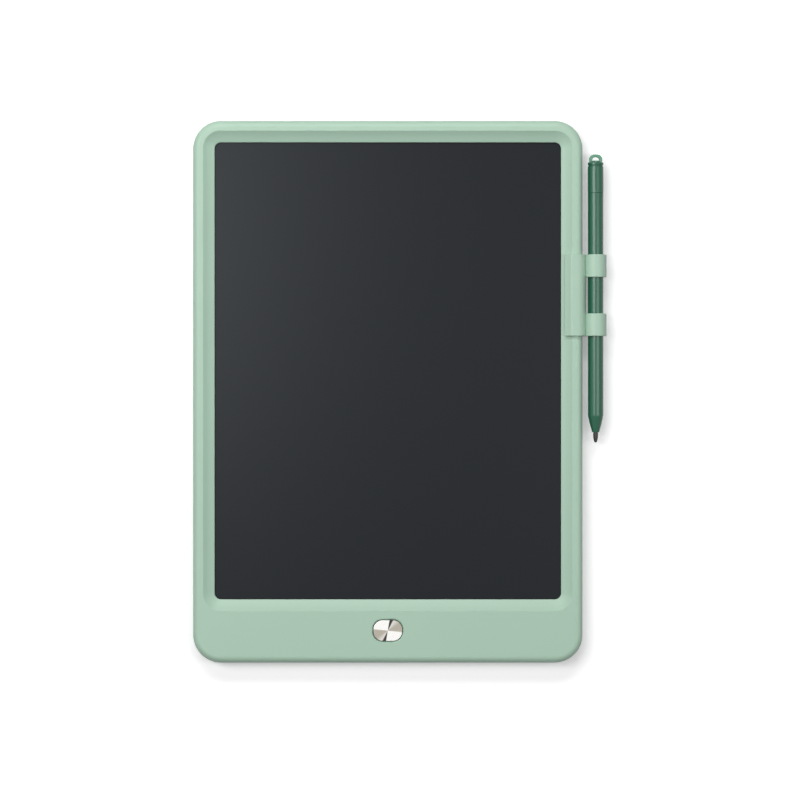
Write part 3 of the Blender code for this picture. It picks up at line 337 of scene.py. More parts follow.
@dataclass(frozen=True)
class WritingSurface:
    """The dark pressure-sensitive film: a satin skin over a faintly mottled dark layer.

    Attributes:
        name: The record's slot.
        colour: Linear base colour.
        roughness: Mean roughness.
        mottle: Size of the mottling.
        speck: Size of the specks.
        speck_depth: Depth of their relief.
    """

    name: str
    colour: Colour
    roughness: float = 0.15
    mottle: float = 0.0016
    speck: float = 0.00035
    speck_depth: float = 0.0000012

    def material(self) -> bpy.types.Material:
        """Build the finish."""
        graph = Coating(self.name)
        place = graph.place()
        mottle = graph.noise(place, self.mottle, detail=4.0, roughness=0.6)
        speck = graph.noise(place, self.speck)
        darker, lighter = scaled(self.colour, 0.93), scaled(self.colour, 1.07)
        return graph.finish(
            Base_Color=graph.mix(mottle * 0.6 + speck * 0.4, darker, lighter),
            Roughness=graph.spread(speck, self.roughness - 0.03, self.roughness + 0.03),
            Normal=graph.bump(speck, self.speck_depth), IOR=1.31, Specular_Tint=(0.88, 0.95, 1.0, 1.0),
        )


@dataclass(frozen=True)
class SpunMetal:
    """Metal faced in a lathe: fine circles round one centre, with painted highlight and painted shade in
    opposite sectors of its colour.

    Attributes:
        name: The record's slot.
        centre: Centre of the circles.
        bright: Painted highlight, the colour of the sectors that would catch the light.
        middle: Painted grey reflection, the colour of the sectors between.
        dark: Painted shade, the colour of the narrow dark rays.
        dark: Colour of the narrow dark rays.
        pitch: Distance from circle to circle.
        groove_depth: Depth of their relief.
        metallic: Share of the metal's mirror in the shading, which is low so that the painted sectors show,
            because a room with little in it would turn them dark.
    """

    name: str
    centre: tuple[float, float, float]
    bright: Colour
    middle: Colour
    dark: Colour
    pitch: float = 0.00009
    groove_depth: float = 0.000002
    metallic: float = 0.25

    def material(self) -> bpy.types.Material:
        """Build the finish."""
        graph = Coating(self.name)
        across, up, _ = graph.axes(graph.vector("SUBTRACT", graph.place(), self.centre))
        half_turn = (up.function("ARCTAN2", across) / math.pi).function("FRACT")
        radius = (across * across + up * up) ** 0.5
        ring = graph.signal(graph.node(
            "ShaderNodeTexNoise", {"noise_dimensions": "1D"},
            {"W": radius, "Scale": 1 / self.pitch, "Detail": 2.0, "Roughness": 0.6},
        ))
        # Painted reflection by angle round the centre: grey sectors, a half-bright band, a narrow painted dark
        # ray and a wide painted highlight, all fed to the base colour.
        glow = tuple((one + other) / 2 for one, other in zip(self.middle, self.bright))
        stops = (
            (0.0, self.middle), (0.17, self.middle), (0.295, glow), (0.33, glow), (0.365, self.dark),
            (0.435, self.dark), (0.465, self.bright), (0.95, self.bright), (0.985, self.middle),
        )
        rays = graph.signal(graph.node("ShaderNodeValToRGB", {"stops": stops}, {0: half_turn}))
        painted_sector_colour = graph.node(
            "ShaderNodeVectorMath", {"operation": "SCALE"}, {0: rays, "Scale": graph.spread(ring, 0.9, 1.05)},
        )
        return graph.finish(
            Base_Color=graph.signal(painted_sector_colour), Roughness=graph.spread(ring, 0.22, 0.36), Metallic=self.metallic,
            Normal=graph.bump(ring, self.groove_depth),
        )


@dataclass(frozen=True)
class TurnedSteel:
    """Plain steel of screws, cans and springs, with fine scratches.

    Attributes:
        name: The record's slot.
        colour: Linear base colour.
        roughness: Mean roughness.
        scratch: Width of the scratches.
        scratch_depth: Depth of the scratches.
    """

    name: str
    colour: Colour
    roughness: float = 0.34
    scratch: float = 0.0006
    scratch_depth: float = 0.000003

    def material(self) -> bpy.types.Material:
        """Build the finish."""
        graph = Coating(self.name)
        stretched = graph.vector("MULTIPLY", graph.place(), (1.0, 9.0, 1.0))
        scratch = graph.noise(stretched, self.scratch, detail=4.0)
        return graph.finish(
            Base_Color=graph.mix(scratch, scaled(self.colour, 0.85), self.colour), Metallic=1.0,
            Roughness=graph.spread(scratch, self.roughness - 0.08, self.roughness + 0.1),
            Normal=graph.bump(scratch, self.scratch_depth),
        )


@dataclass(frozen=True)
class BoardLacquer:
    """A circuit board's lacquer with the relief of its copper tracks.

    Attributes:
        name: The record's slot.
        colour: Linear colour over bare board.
        track: Linear colour over copper.
        pitch: Distance from track to track.
        weave: Size of the board's weave.
        relief: Height of the tracks.
    """

    name: str
    colour: Colour
    track: Colour
    pitch: float = 0.0024
    weave: float = 0.0004
    relief: float = 0.00003

    def material(self) -> bpy.types.Material:
        """Build the finish."""
        graph = Coating(self.name)
        place = graph.place()
        cells = graph.node(
            "ShaderNodeTexVoronoi", {"feature": "F1", "distance": "MANHATTAN"},
            {"Vector": place, "Scale": 1 / self.pitch, "Randomness": 0.4},
        )
        tracks = graph.signal(cells).function("GREATER_THAN", 0.42)
        weave = graph.noise(place, self.weave)
        return graph.finish(
            Base_Color=graph.mix(tracks, self.colour, self.track), Roughness=graph.spread(weave, 0.3, 0.45),
            Normal=graph.bump(tracks * 0.8 + weave * 0.2, self.relief),
        )


class Finish(Enum):
    """The finishes of the object, by the record's slots."""

    SAGE = MouldedPlastic("sage_plastic", shade(172, 202, 182), roughness=0.45)
    FILM = WritingSurface("writing_surface", shade(12, 14, 18), roughness=0.30)
    DARK = MouldedPlastic("dark_plastic", shade(40, 42, 44), roughness=0.5)
    CREAM = MouldedPlastic("cream_plastic", shade(205, 200, 186), roughness=0.5)
    STEEL = TurnedSteel("screw_steel", shade(150, 150, 150))
    SPRING = TurnedSteel("spring_metal", shade(205, 195, 170), roughness=0.28)
    BOARD = BoardLacquer("board_green", shade(24, 84, 50), shade(44, 112, 68))
    TAIL = MouldedPlastic("tail_amber", shade(176, 116, 40), roughness=0.35, coat=0.3)
    # Lighter than the carrier's deep green: painted light that offsets the shade in the narrow gap round the
    # button.
    GAP_GREEN = MouldedPlastic("deep_green_plastic", shade(104, 150, 122), roughness=0.5)
    PEN_GREEN = MouldedPlastic(
        "pen_green_plastic", shade(26, 92, 68), roughness=0.25, grain_depth=0.000001,
    )
    # Lighter than the pen's green that the eye is made of: a painted sheen standing in for the highlight on its
    # flat face.
    EYE_GREEN = MouldedPlastic("eye_green_plastic", shade(96, 150, 124), roughness=0.4)
    NIB = MouldedPlastic("nib_plastic", shade(40, 35, 30), roughness=0.42)
    # The three colours are the painted highlight, painted grey reflection and painted dark ray of the button's
    # face.
    SPUN = SpunMetal(
        "spun_metal", (*BUTTON, 0.0), shade(254, 253, 250), shade(182, 175, 161), shade(34, 31, 28),
    )

    def material(self) -> bpy.types.Material:
        """The finish's material, built when it is first asked for."""
        return bpy.data.materials.get(f"{self.value.name}_finish") or self.value.material()


class Axis(Enum):
    """The axis of a turned piece: upright, or along the tablet."""

    UPRIGHT = UP
    ALONG = (0.0, 1.0, 0.0)


class Part(Enum):
    """What a selection is made of."""

    POINTS = "VERT"
    EDGES = "EDGE"
    FACES = "FACE"


def everything(middle: Vector, pointing: Vector) -> bool:
    """Pick all there is."""
    return True


def facing(way: Sequence[float]) -> Test:
    """Make a test that picks the faces that look one way, given as a unit vector."""
    return lambda middle, pointing: pointing.dot(Vector(way)) > ALIGNED


def running(way: Sequence[float], place: Test = everything) -> Test:
    """Make a test that picks the edges along a unit vector, where a further test holds too."""
    return lambda middle, pointing: abs(pointing.dot(Vector(way))) > ALIGNED and place(middle, pointing)


def near(axis: int, value: float) -> Test:
    """Make a test that picks what lies at one value of an axis."""
    return lambda middle, pointing: abs(middle[axis] - value) < TINY


def grown(size: Pair, margin: float) -> Pair:
    """Add a margin to all sides of a width and length."""
    return (size[0] + 2 * margin, size[1] + 2 * margin)


def deselect() -> None:
    """Leave edit mode and deselect every object."""
    if bpy.context.object and bpy.context.object.mode != "OBJECT":
        bpy.ops.object.mode_set(mode="OBJECT")
    bpy.ops.object.select_all(action="DESELECT")


class Workpiece:
    """One mesh on the bench, shaped with Blender's operators."""

    def __init__(self, obj: bpy.types.Object, name: str) -> None:
        """Take an object in hand and put its place, turn and scale in its mesh."""
        self.obj = obj
        obj.name = name
        obj.data.name = name
        self.take_up()
        bpy.ops.object.transform_apply(location=True, rotation=True, scale=True)

    @classmethod
    def block(cls, name: str, low: Sequence[float], high: Sequence[float]) -> Workpiece:
        """Add a cube that fills the box between its lowest and its highest corner."""
        deselect()
        bpy.ops.mesh.primitive_cube_add(size=1.0, location=(Vector(low) + Vector(high)) / 2)
        bpy.context.object.scale = Vector(high) - Vector(low)
        return cls(bpy.context.object, name)

    @classmethod
    def plate(
        cls, name: str, size: Pair, centre: Pair, heights: Pair, corner: float, steps: int = 16,
    ) -> Workpiece:
        """Add a block whose upright edges are rounded.

        Args:
            name: Name of the piece.
            size: Width and length.
            centre: Its middle, seen from above.
            heights: Lowest and highest level.
            corner: Radius of the upright edges.
            steps: Segments of each corner.

        Returns:
            The new piece.
        """
        half_width, half_length = size[0] / 2, size[1] / 2
        piece = cls.block(
            name, (centre[0] - half_width, centre[1] - half_length, heights[0]),
            (centre[0] + half_width, centre[1] + half_length, heights[1]),
        )
        return piece.bevel(running(UP), corner, steps)

    @classmethod
    def turned(
        cls, name: str, foot: Sequence[float], stations: Sequence[Pair], steps: int,
        axis: Axis = Axis.UPRIGHT,
    ) -> Workpiece:
        """Turn a round solid: a disc that is extruded and resized from station to station.

        Args:
            name: Name of the piece.
            foot: Point of the axis from which the stations are counted.
            stations: Distances along the axis and the radius at each.
            steps: Sides of the circle.
            axis: The axis.

        Returns:
            The new piece.
        """
        deselect()
        upright = axis is Axis.UPRIGHT
        way = Vector(axis.value)
        first, radius = stations[0]
        bpy.ops.mesh.primitive_circle_add(
            vertices=steps, radius=radius, fill_type="NGON", location=Vector(foot) + way * first,
            rotation=(0.0 if upright else -QUARTER, 0.0, 0.0),
        )
        piece = cls(bpy.context.object, name)
        with piece.editing(Part.FACES, everything):
            for (past, old), (here, new) in zip(stations, stations[1:]):
                bpy.ops.mesh.extrude_region_move(TRANSFORM_OT_translate={"value": tuple(way * (here - past))})
                share = new / old
                factors = (share, share, 1.0) if upright else (share, 1.0, share)
                bpy.ops.transform.resize(value=factors, center_override=tuple(Vector(foot) + way * here))
        return piece.outward()

    @classmethod
    def post(cls, name: str, place: Pair, radius: float, ends: Pair, steps: int = 24) -> Workpiece:
        """Add an upright cylinder at a place, from one level to another."""
        return cls.turned(name, (*place, 0.0), [(end, radius) for end in ends], steps)

    @classmethod
    def copy_of(cls, node: str, name: str) -> Workpiece:
        """Copy a CAD solid's mesh and merge its loose triangles.

        Args:
            node: The CAD node.
            name: Name of the piece.

        Returns:
            The new piece.
        """
        obj = bpy.data.objects.new(name, bpy.data.objects[node].data.copy())
        bpy.context.scene.collection.objects.link(obj)
        obj.data.materials.clear()
        piece = cls(obj, name)
        with piece.editing(Part.POINTS, everything):
            bpy.ops.mesh.remove_doubles(threshold=TINY)
            bpy.ops.mesh.dissolve_limited(angle_limit=math.radians(1.0))
            bpy.ops.mesh.customdata_custom_splitnormals_clear()
        return piece

    def take_up(self) -> None:
        """Make this the one selected and active object."""
        deselect()
        self.obj.select_set(True)
        bpy.context.view_layer.objects.active = self.obj

    @contextmanager
    def editing(self, part: Part, test: Test) -> Iterator[None]:
        """Select what a test picks and stay in edit mode for a block of operators.

        Args:
            part: Whether faces, edges or points are selected.
            test: Takes a face's centre and normal, an edge's middle and direction, or a point and its normal.
        """
        self.take_up()
        mesh = self.obj.data
        for group in (mesh.vertices, mesh.edges, mesh.polygons):
            group.foreach_set("select", [False] * len(group))
        bpy.context.tool_settings.mesh_select_mode = [part is kind for kind in Part]
        points = [vertex.co for vertex in mesh.vertices]
        if part is Part.FACES:
            found = [face for face in mesh.polygons if test(face.center, face.normal)]
        elif part is Part.EDGES:
            ends = [(edge, points[edge.vertices[0]], points[edge.vertices[1]]) for edge in mesh.edges]
            found = [edge for edge, one, other in ends if test((one + other) / 2, (other - one).normalized())]
        else:
            found = [vertex for vertex in mesh.vertices if test(vertex.co, vertex.normal)]
        if not found:
            raise ValueError(f"{self.obj.name}: nothing picked")
        for element in found:
            element.select = True
            for number in () if part is Part.POINTS else element.vertices:
                mesh.vertices[number].select = True
        bpy.ops.object.mode_set(mode="EDIT")
        yield
        bpy.ops.object.mode_set(mode="OBJECT")

    def bevel(self, test: Test, width: float, steps: int) -> Workpiece:
        """Round the edges that a test picks."""
        with self.editing(Part.EDGES, test):
            bpy.ops.mesh.bevel(offset=width, segments=steps, affect="EDGES", clamp_overlap=False)
        return self

    def rim(self, test: Test, width: float, steps: int) -> Workpiece:
        """Round the outline of the faces that a test picks."""
        with self.editing(Part.FACES, test):
            bpy.ops.mesh.region_to_loop()
            bpy.ops.mesh.bevel(offset=width, segments=steps, affect="EDGES", clamp_overlap=False)
        return self

    def step_in(self, steps: Sequence[Pair]) -> Workpiece:
        """Inset the underside again and again: how far each ring goes in, and how far down."""
        with self.editing(Part.FACES, facing(DOWN)):
            for inwards, down in steps:
                bpy.ops.mesh.inset(thickness=inwards, depth=down, use_even_offset=True)
        return self

    def extrude(self, part: Part, test: Test, *moves: Sequence[float]) -> Workpiece:
        """Extrude what a test picks by one move after another."""
        with self.editing(part, test):
            for move in moves:
                bpy.ops.mesh.extrude_region_move(TRANSFORM_OT_translate={"value": tuple(move)})
        return self

    def combine(self, operation: str, others: Sequence[Workpiece]) -> Workpiece:
        """Unite with or cut by other pieces, which are used up."""
        for other in others:
            self.modify("BOOLEAN", operation=operation, object=other.obj, solver="EXACT")
            bpy.data.meshes.remove(other.obj.data)
        return self

    def add(self, *others: Workpiece) -> Workpiece:
        """Unite with other pieces."""
        return self.combine("UNION", others)

    def cut(self, *others: Workpiece) -> Workpiece:
        """Cut by other pieces."""
        return self.combine("DIFFERENCE", others)

    def modify(self, kind: str, **settings: object) -> Workpiece:
        """Add a modifier and apply it."""
        self.take_up()
        modifier = self.obj.modifiers.new(kind.title(), kind)
        for key, value in settings.items():
            setattr(modifier, key, value)
        bpy.ops.object.modifier_apply(modifier=modifier.name)
        return self

    def soften(self, width: float, steps: int, angle: float) -> Workpiece:
        """Round every edge that is sharper than an angle in degrees."""
        return self.modify(
            "BEVEL", width=width, segments=steps, limit_method="ANGLE", angle_limit=math.radians(angle),
            use_clamp_overlap=True, harden_normals=False, miter_outer="MITER_ARC",
        )

    def outward(self) -> Workpiece:
        """Merge doubles and make the faces point outwards."""
        with self.editing(Part.POINTS, everything):
            bpy.ops.mesh.remove_doubles(threshold=TINY / 10)
            bpy.ops.mesh.normals_make_consistent(inside=False)
        return self

    def deliver(self, finish: Finish, body: str, *nodes: str, angle: float = 32.0) -> None:
        """Shade the piece, give it its finish and put it on its body.

        Args:
            finish: The finish.
            body: The body that carries it.
            nodes: The CAD solids that it stands for.
            angle: Edges sharper than this, in degrees, stay sharp.
        """
        self.take_up()
        bpy.ops.object.shade_smooth_by_angle(angle=math.radians(angle))
        self.modify("WEIGHTED_NORMAL", keep_sharp=True, weight=80)
        self.obj.data.materials.clear()
        self.obj.data.materials.append(finish.material())
        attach(self.obj, body)
        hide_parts(*nodes)
        LOG.info("%s: %d faces, stands for %s", self.obj.name, len(self.obj.data.polygons), ", ".join(nodes))


@dataclass
class Body:
    """The sizes that the front frame, the back cover and the clip share.

    Attributes:
        width: Width of the body.
        length: Length of the body.
        height: Height of the frame's crest over the table.
        corner: Radius of the outline's corners.
        round_over: Radius of the frame's outer rim.
        wall: Thickness of the moulding.
        base: Height of the parting line's upper side.
        step: Height of the back's borders over the table.
        back_edge: Radius of the back's outer edge.
        opening: Width and length of the screen opening.
        opening_centre: Its middle, seen from the front.
        dish: Width and depth of the slope to the screen.
        hollow: How much more slant the slope has at the crest than on average.
        screws: Places of the six housing screws.
    """

    width: float = 0.1725
    length: float = 0.240
    height: float = 0.0105
    corner: float = 0.0124
    round_over: float = 0.0030
    wall: float = 0.0016
    base: float = 0.0032
    step: float = 0.0015
    back_edge: float = 0.001
    opening: Pair = (0.1535, 0.2025)
    opening_centre: Pair = (0.0, 0.00925)
    dish: Pair = (0.0049, 0.0028)
    hollow: float = 0.31
    screws: tuple[Pair, ...] = tuple(
        (side * 0.08245, y) for y in (0.10008, 0.00408, -0.10896) for side in (-1, 1)
    )

    def drop(self, share: float) -> float:
        """How far the slope lies below the crest, share 0 at the crest and 1 at the screen."""
        return self.dish[1] * share * (1 + self.hollow * (1 - share))

    def slant(self, share: float) -> float:
        """The slope's angle at a share of its width."""
        return math.atan2(self.dish[1] * (1 + self.hollow * (1 - 2 * share)), self.dish[0])

    def outline(self, name: str, heights: Pair, inset: float = 0.0, steps: int = 20) -> Workpiece:
        """Make a plate with the body's outline, drawn in by an inset."""
        size = grown((self.width, self.length), -inset)
        return Workpiece.plate(name, size, (0.0, 0.0), heights, self.corner - inset, steps)


@dataclass
class FrontFrame:
    """The moulded frame: rounded rim, flat crest and chin, dished slope, thin lip and the button's hole.

    Attributes:
        body: The shared sizes.
        dish_corner: Corner radius at the crest.
        opening_corner: Corner radius of the film's seat at the opening.
        lead: How far outside and above the crest's edge the dish's cutting piece starts.
        lip: Thickness of the lip over the film.
        seat: Reach of the film's seat outside the opening.
        seat_slope: How much further the seat's walls reach at the ceiling.
        crest_round: Radius of the crest's inner edge.
        lip_round: Radius of the lip's edge.
        shortest: Least distance between the slope's points.
        base_round: Radius of the edge at the parting line.
        hole: Width and length of the button's hole.
        hole_corner: Radius of its corners.
        hole_chamfer: Width of its chamfer.
        hole_lead: How far above the chin its cutting piece starts.
        boss: Radius of a screw's boss.
        boss_foot: Clearance from the parting line to a boss.
        screw_hole: Radius of a screw's hole.
        screw_top: Height of its end.
    """

    body: Body
    dish_corner: float = 0.0077
    opening_corner: float = 0.0027
    lead: Pair = (0.0001, 0.0003)
    lip: float = 0.0008
    seat: float = 0.0029
    seat_slope: float = 0.0017
    crest_round: float = 0.0005
    lip_round: float = 0.00018
    shortest: float = 0.00005
    base_round: float = 0.00015
    hole: Pair = (0.0134, 0.0098)
    hole_corner: float = 0.00445
    hole_chamfer: float = 0.00045
    hole_lead: float = 0.0002
    boss: float = 0.0021
    boss_foot: float = 0.0003
    screw_hole: float = 0.0012
    screw_top: float = 0.0079

    def section(self, steps: int = 14) -> list[Pair]:
        """Work out the slope's section, from above the crest's round down to the lip's edge.

        Args:
            steps: Chords that the whole slope would have.

        Returns:
            Pairs of distance out from the opening and height.
        """
        body = self.body
        width, depth = body.dish
        lean = body.slant(0.0)
        start = width + self.crest_round * math.tan(lean / 2)
        crest = arc((start, body.height - self.crest_round), self.crest_round, QUARTER, QUARTER + lean, 5)
        # The crest's first chord is left out: it is so flat that it would count as the cutter's underside.
        points = [(start + self.lead[0], body.height + self.lead[1]), *crest[1:]]
        for step in range(1, steps + 1):
            out = width * (1 - step / steps)
            if self.lip_round * 2 < out < points[-1][0] - self.shortest:
                points.append((out, body.height - body.drop(step / steps)))
        foot = (self.lip_round, body.height - depth - self.lip_round)
        return points + arc(foot, self.lip_round, QUARTER + body.slant(1.0), 2 * QUARTER, 4)

    def dish(self) -> Workpiece:
        """Make what the dish and the screen opening are cut with."""
        section = self.section()
        out, top = section[0]
        size = grown(self.body.opening, out)
        corner = self.dish_corner + out - self.body.dish[0]
        cutter = Workpiece.plate("dish", size, self.body.opening_centre, (top, top + OVERRUN), corner)
        steps = [(past[0] - here[0], past[1] - here[1]) for past, here in zip(section, section[1:])]
        cutter.step_in([(max(inwards, TINY / 4), down) for inwards, down in steps])
        return cutter.extrude(Part.FACES, facing(DOWN), (0.0, 0.0, -self.lip - OVERRUN))

    def cavity(self) -> Workpiece:
        """Make what the frame's hollow is cut with: the room behind the crest, less the film's seat."""
        body = self.body
        ceiling = body.height - body.wall
        room = body.outline("cavity", (body.base - OVERRUN, ceiling), inset=body.wall, steps=12)
        rise = ceiling - (body.height - body.dish[1] - self.lip)
        reach = self.seat + self.seat_slope
        size = grown(body.opening, reach)
        ridge = Workpiece.plate(
            "ridge", size, body.opening_centre, (ceiling, ceiling + OVERRUN),
            reach + self.opening_corner, steps=12,
        )
        return room.cut(ridge.step_in([(self.seat_slope, rise)]))

    def button_hole(self) -> Workpiece:
        """Make what the button's hole and its chamfer are cut with."""
        chamfer = self.hole_chamfer + self.hole_lead
        size, corner = grown(self.hole, chamfer), self.hole_corner + chamfer
        top = self.body.height + self.hole_lead
        cutter = Workpiece.plate("hole", size, BUTTON, (top, top + OVERRUN), corner, steps=12)
        cutter.step_in([(chamfer, chamfer)])
        return cutter.extrude(Part.FACES, facing(DOWN), (0.0, 0.0, -self.body.wall - OVERRUN))

    def build(self) -> None:
        """Model the frame and put it in place."""
        body = self.body
        frame = body.outline("front_frame_moulding", (body.base, body.height))
        frame.rim(facing(UP), body.round_over, steps=8)
        frame.rim(facing(DOWN), self.base_round, steps=2)
        frame.cut(self.dish(), self.cavity())
        boss = (body.base + self.boss_foot, body.height - body.wall / 2)
        bore = (body.base - OVERRUN, self.screw_top)
        for number, place in enumerate(body.screws):
            frame.add(Workpiece.post(f"boss_{number}", place, self.boss, boss))
            frame.cut(Workpiece.post(f"bore_{number}", place, self.screw_hole, bore))
        frame.cut(self.button_hole())
        frame.deliver(Finish.SAGE, "tablet", "front_frame")


@dataclass
class BackCover:
    """The back tray: a flat plateau, stepped borders, ribs, the cell's well and the holes for what passes.

    Attributes:
        body: The shared sizes.
        plateau: Width and length of the flat that rests on the table.
        plateau_corner: Radius of its corners.
        plateau_edge: Radius of its edge.
        draft: How much wider the plateau is at its step.
        floor: Thickness of the moulding.
        rib: Thickness of a rib.
        rib_top: Height of the long ribs.
        cross_ribs: Places of the cross ribs, as shares of the opening's length.
        long_ribs: Places of the long ribs, as shares of the body's width.
        rib_span: Ends of the long ribs.
        cross_drop: How much lower the cross ribs are.
        door: Lowest and highest corner of the door's opening.
        door_corner: Radius of its corners.
        door_room: Height of the room for the door.
        well: Margin of the cell's well round the door's opening.
        well_side: Place of the well's right side.
        well_room: Levels between which the bores in the well go.
        cell: Place of the cell.
        cell_bore: Radius of its bore.
        door_screw: Place across of the door's screw.
        slot: Lowest and highest corner of the contact's slot, counted along from the cell.
        tab: Distance from the cell to a tab, and half its width.
        tab_room: Ends of a tab's room, across.
        tab_top: Height of that room.
        standoffs: Places of the board's standoffs, with the height of their feet.
        standoff: Radius and height of a standoff.
        pilot: Radius of a standoff's hole.
        pilot_room: Levels between which it goes.
        slider: Middle of the lock slider's slot.
        slider_slot: Its width and length.
        slider_corner: Radius of its corners.
        sink: Radius and depth of a housing screw's countersink.
        sink_face: Depth of the screw's head under the border.
        shaft: Radius and end of a housing screw's hole.
    """

    body: Body
    plateau: Pair = (0.1525, 0.2348)
    plateau_corner: float = 0.008
    plateau_edge: float = 0.00025
    draft: float = 0.0004
    floor: float = 0.0014
    rib: float = 0.0012
    rib_top: float = 0.0039
    cross_ribs: tuple[float, ...] = (-0.30, 0.0, 0.30)
    long_ribs: tuple[float, ...] = (-0.43, -0.15, 0.15, 0.43)
    rib_span: Pair = (-0.0915, 0.110)
    cross_drop: float = 0.0002
    door: tuple[Pair, Pair] = ((-0.0523, -0.1166), (-0.0185, -0.0956))
    door_corner: float = 0.002
    door_room: float = 0.00165
    well: float = 0.001
    well_side: float = -0.0162
    well_room: Pair = (0.0007, 0.005)
    cell: Pair = (-0.030, -0.1061)
    cell_bore: float = 0.0103
    door_screw: float = -0.0475
    slot: tuple[Sequence[float], Sequence[float]] = ((-0.04085, -0.0033, 0.00115), (-0.035, 0.0033, 0.005))
    tab: Pair = (0.00675, 0.0018)
    tab_room: Pair = (-0.0209, -0.0173)
    tab_top: float = 0.003
    standoffs: tuple[tuple[Pair, float], ...] = (((-0.04055, -0.1139), 0.0032), ((0.02955, -0.0991), 0.0007))
    standoff: Pair = (0.0019, 0.0047)
    pilot: float = 0.0011
    pilot_room: Pair = (0.0032, 0.006)
    slider: Pair = (0.024, -0.1061)
    slider_slot: Pair = (0.0086, 0.0034)
    slider_corner: float = 0.0003
    sink: Pair = (0.0022, 0.001)
    sink_face: float = 0.0001
    shaft: Pair = (0.0012, 0.004)

    def shell(self) -> Workpiece:
        """Model the outer form and hollow it."""
        step = self.body.step
        inner = step + self.floor
        shell = self.body.outline("back_cover_moulding", (step, inner))
        shell.rim(facing(DOWN), self.body.back_edge, steps=6)
        size, corner = grown(self.plateau, self.draft), self.plateau_corner
        flat = Workpiece.plate("plateau", size, (0.0, 0.0), (step, inner), corner + self.draft)
        flat.step_in([(self.draft, step)])
        flat.rim(facing(DOWN), self.plateau_edge, steps=3)
        shell.add(flat)
        room = grown(self.plateau, -self.floor)
        levels = (self.floor, inner + OVERRUN)
        return shell.cut(Workpiece.plate("hollow", room, (0.0, 0.0), levels, corner - self.floor))

    def ribs(self) -> list[Workpiece]:
        """Model the ribs under the support plate."""
        half, foot = self.rib / 2, self.floor / 2
        side = self.plateau[0] / 2 - foot
        middle, length = self.body.opening_centre[1], self.body.opening[1]
        low, high = self.rib_span
        boxes = []
        for y in (middle + share * length for share in self.cross_ribs):
            boxes.append(((-side, y - half, foot), (side, y + half, self.rib_top - self.cross_drop)))
        for x in (share * self.body.width for share in self.long_ribs):
            boxes.append(((x - half, low, foot), (x + half, high, self.rib_top)))
        return [Workpiece.block(f"rib_{number}", *box) for number, box in enumerate(boxes, 1)]

    def fit_cell(self, shell: Workpiece) -> None:
        """Add the cell's well and cut the door's opening and the room of cell, contact, screw and tabs.

        Args:
            shell: The cover's moulding.
        """
        (left, low), (right, high) = self.door
        shell.add(Workpiece.block(
            "well", (left - self.well, low - self.well, self.floor / 2),
            (self.well_side, high + self.well, self.rib_top),
        ))
        middle = ((left + right) / 2, (low + high) / 2)
        size = (right - left, high - low)
        y = self.cell[1]
        levels = (-OVERRUN, self.door_room)
        slot = [(across, y + along, height) for across, along, height in self.slot]
        shell.cut(
            Workpiece.plate("door_opening", size, middle, levels, self.door_corner, steps=8),
            Workpiece.post("cell_bore", self.cell, self.cell_bore, self.well_room, steps=64),
            Workpiece.post("door_bore", (self.door_screw, y), self.shaft[0], self.well_room),
            Workpiece.block("contact_slot", *slot),
        )
        for side in (-1, 1):
            tab = y + side * self.tab[0]
            shell.cut(Workpiece.block(
                f"tab_room_{side}", (self.tab_room[0], tab - self.tab[1], self.floor),
                (self.tab_room[1], tab + self.tab[1], self.tab_top),
            ))

    def build(self) -> None:
        """Model the cover and put it in place."""
        shell = self.shell()
        shell.add(*self.ribs())
        self.fit_cell(shell)
        thick, top = self.standoff
        for number, (place, foot) in enumerate(self.standoffs, 1):
            shell.add(Workpiece.post(f"standoff_{number}", place, thick, (foot, top)))
            shell.cut(Workpiece.post(f"pilot_{number}", place, self.pilot, self.pilot_room, steps=16))
        levels = (-OVERRUN, self.floor + OVERRUN)
        shell.cut(Workpiece.plate(
            "slider_slot", self.slider_slot, self.slider, levels, self.slider_corner, steps=3,
        ))
        face = self.body.step + self.sink_face
        wide, depth = self.sink
        narrow, end = self.shaft
        stations = ((face - OVERRUN, wide), (face, wide), (face + depth, narrow), (end, narrow))
        for number, place in enumerate(self.body.screws, 1):
            shell.cut(Workpiece.turned(f"countersink_{number}", (*place, 0.0), stations, steps=32))
        shell.deliver(Finish.SAGE, "tablet", "back_cover")


@dataclass
class EraseButton:
    """The spun metal cap of the erase button.

    Attributes:
        size: Width and length.
        corner: Radius of its corners.
        heights: Underside and face.
        edge: Radius of the edge round its face.
    """

    size: Pair = (0.0127, 0.0091)
    corner: float = 0.0041
    heights: Pair = (0.00975, 0.01055)
    edge: float = 0.0002

    def build(self) -> None:
        """Model the cap and put it in place."""
        cap = Workpiece.plate("erase_button_cap", self.size, BUTTON, self.heights, self.corner)
        cap.rim(facing(UP), self.edge, steps=4)
        cap.deliver(Finish.SPUN, "erase_button", "erase_button", angle=50.0)


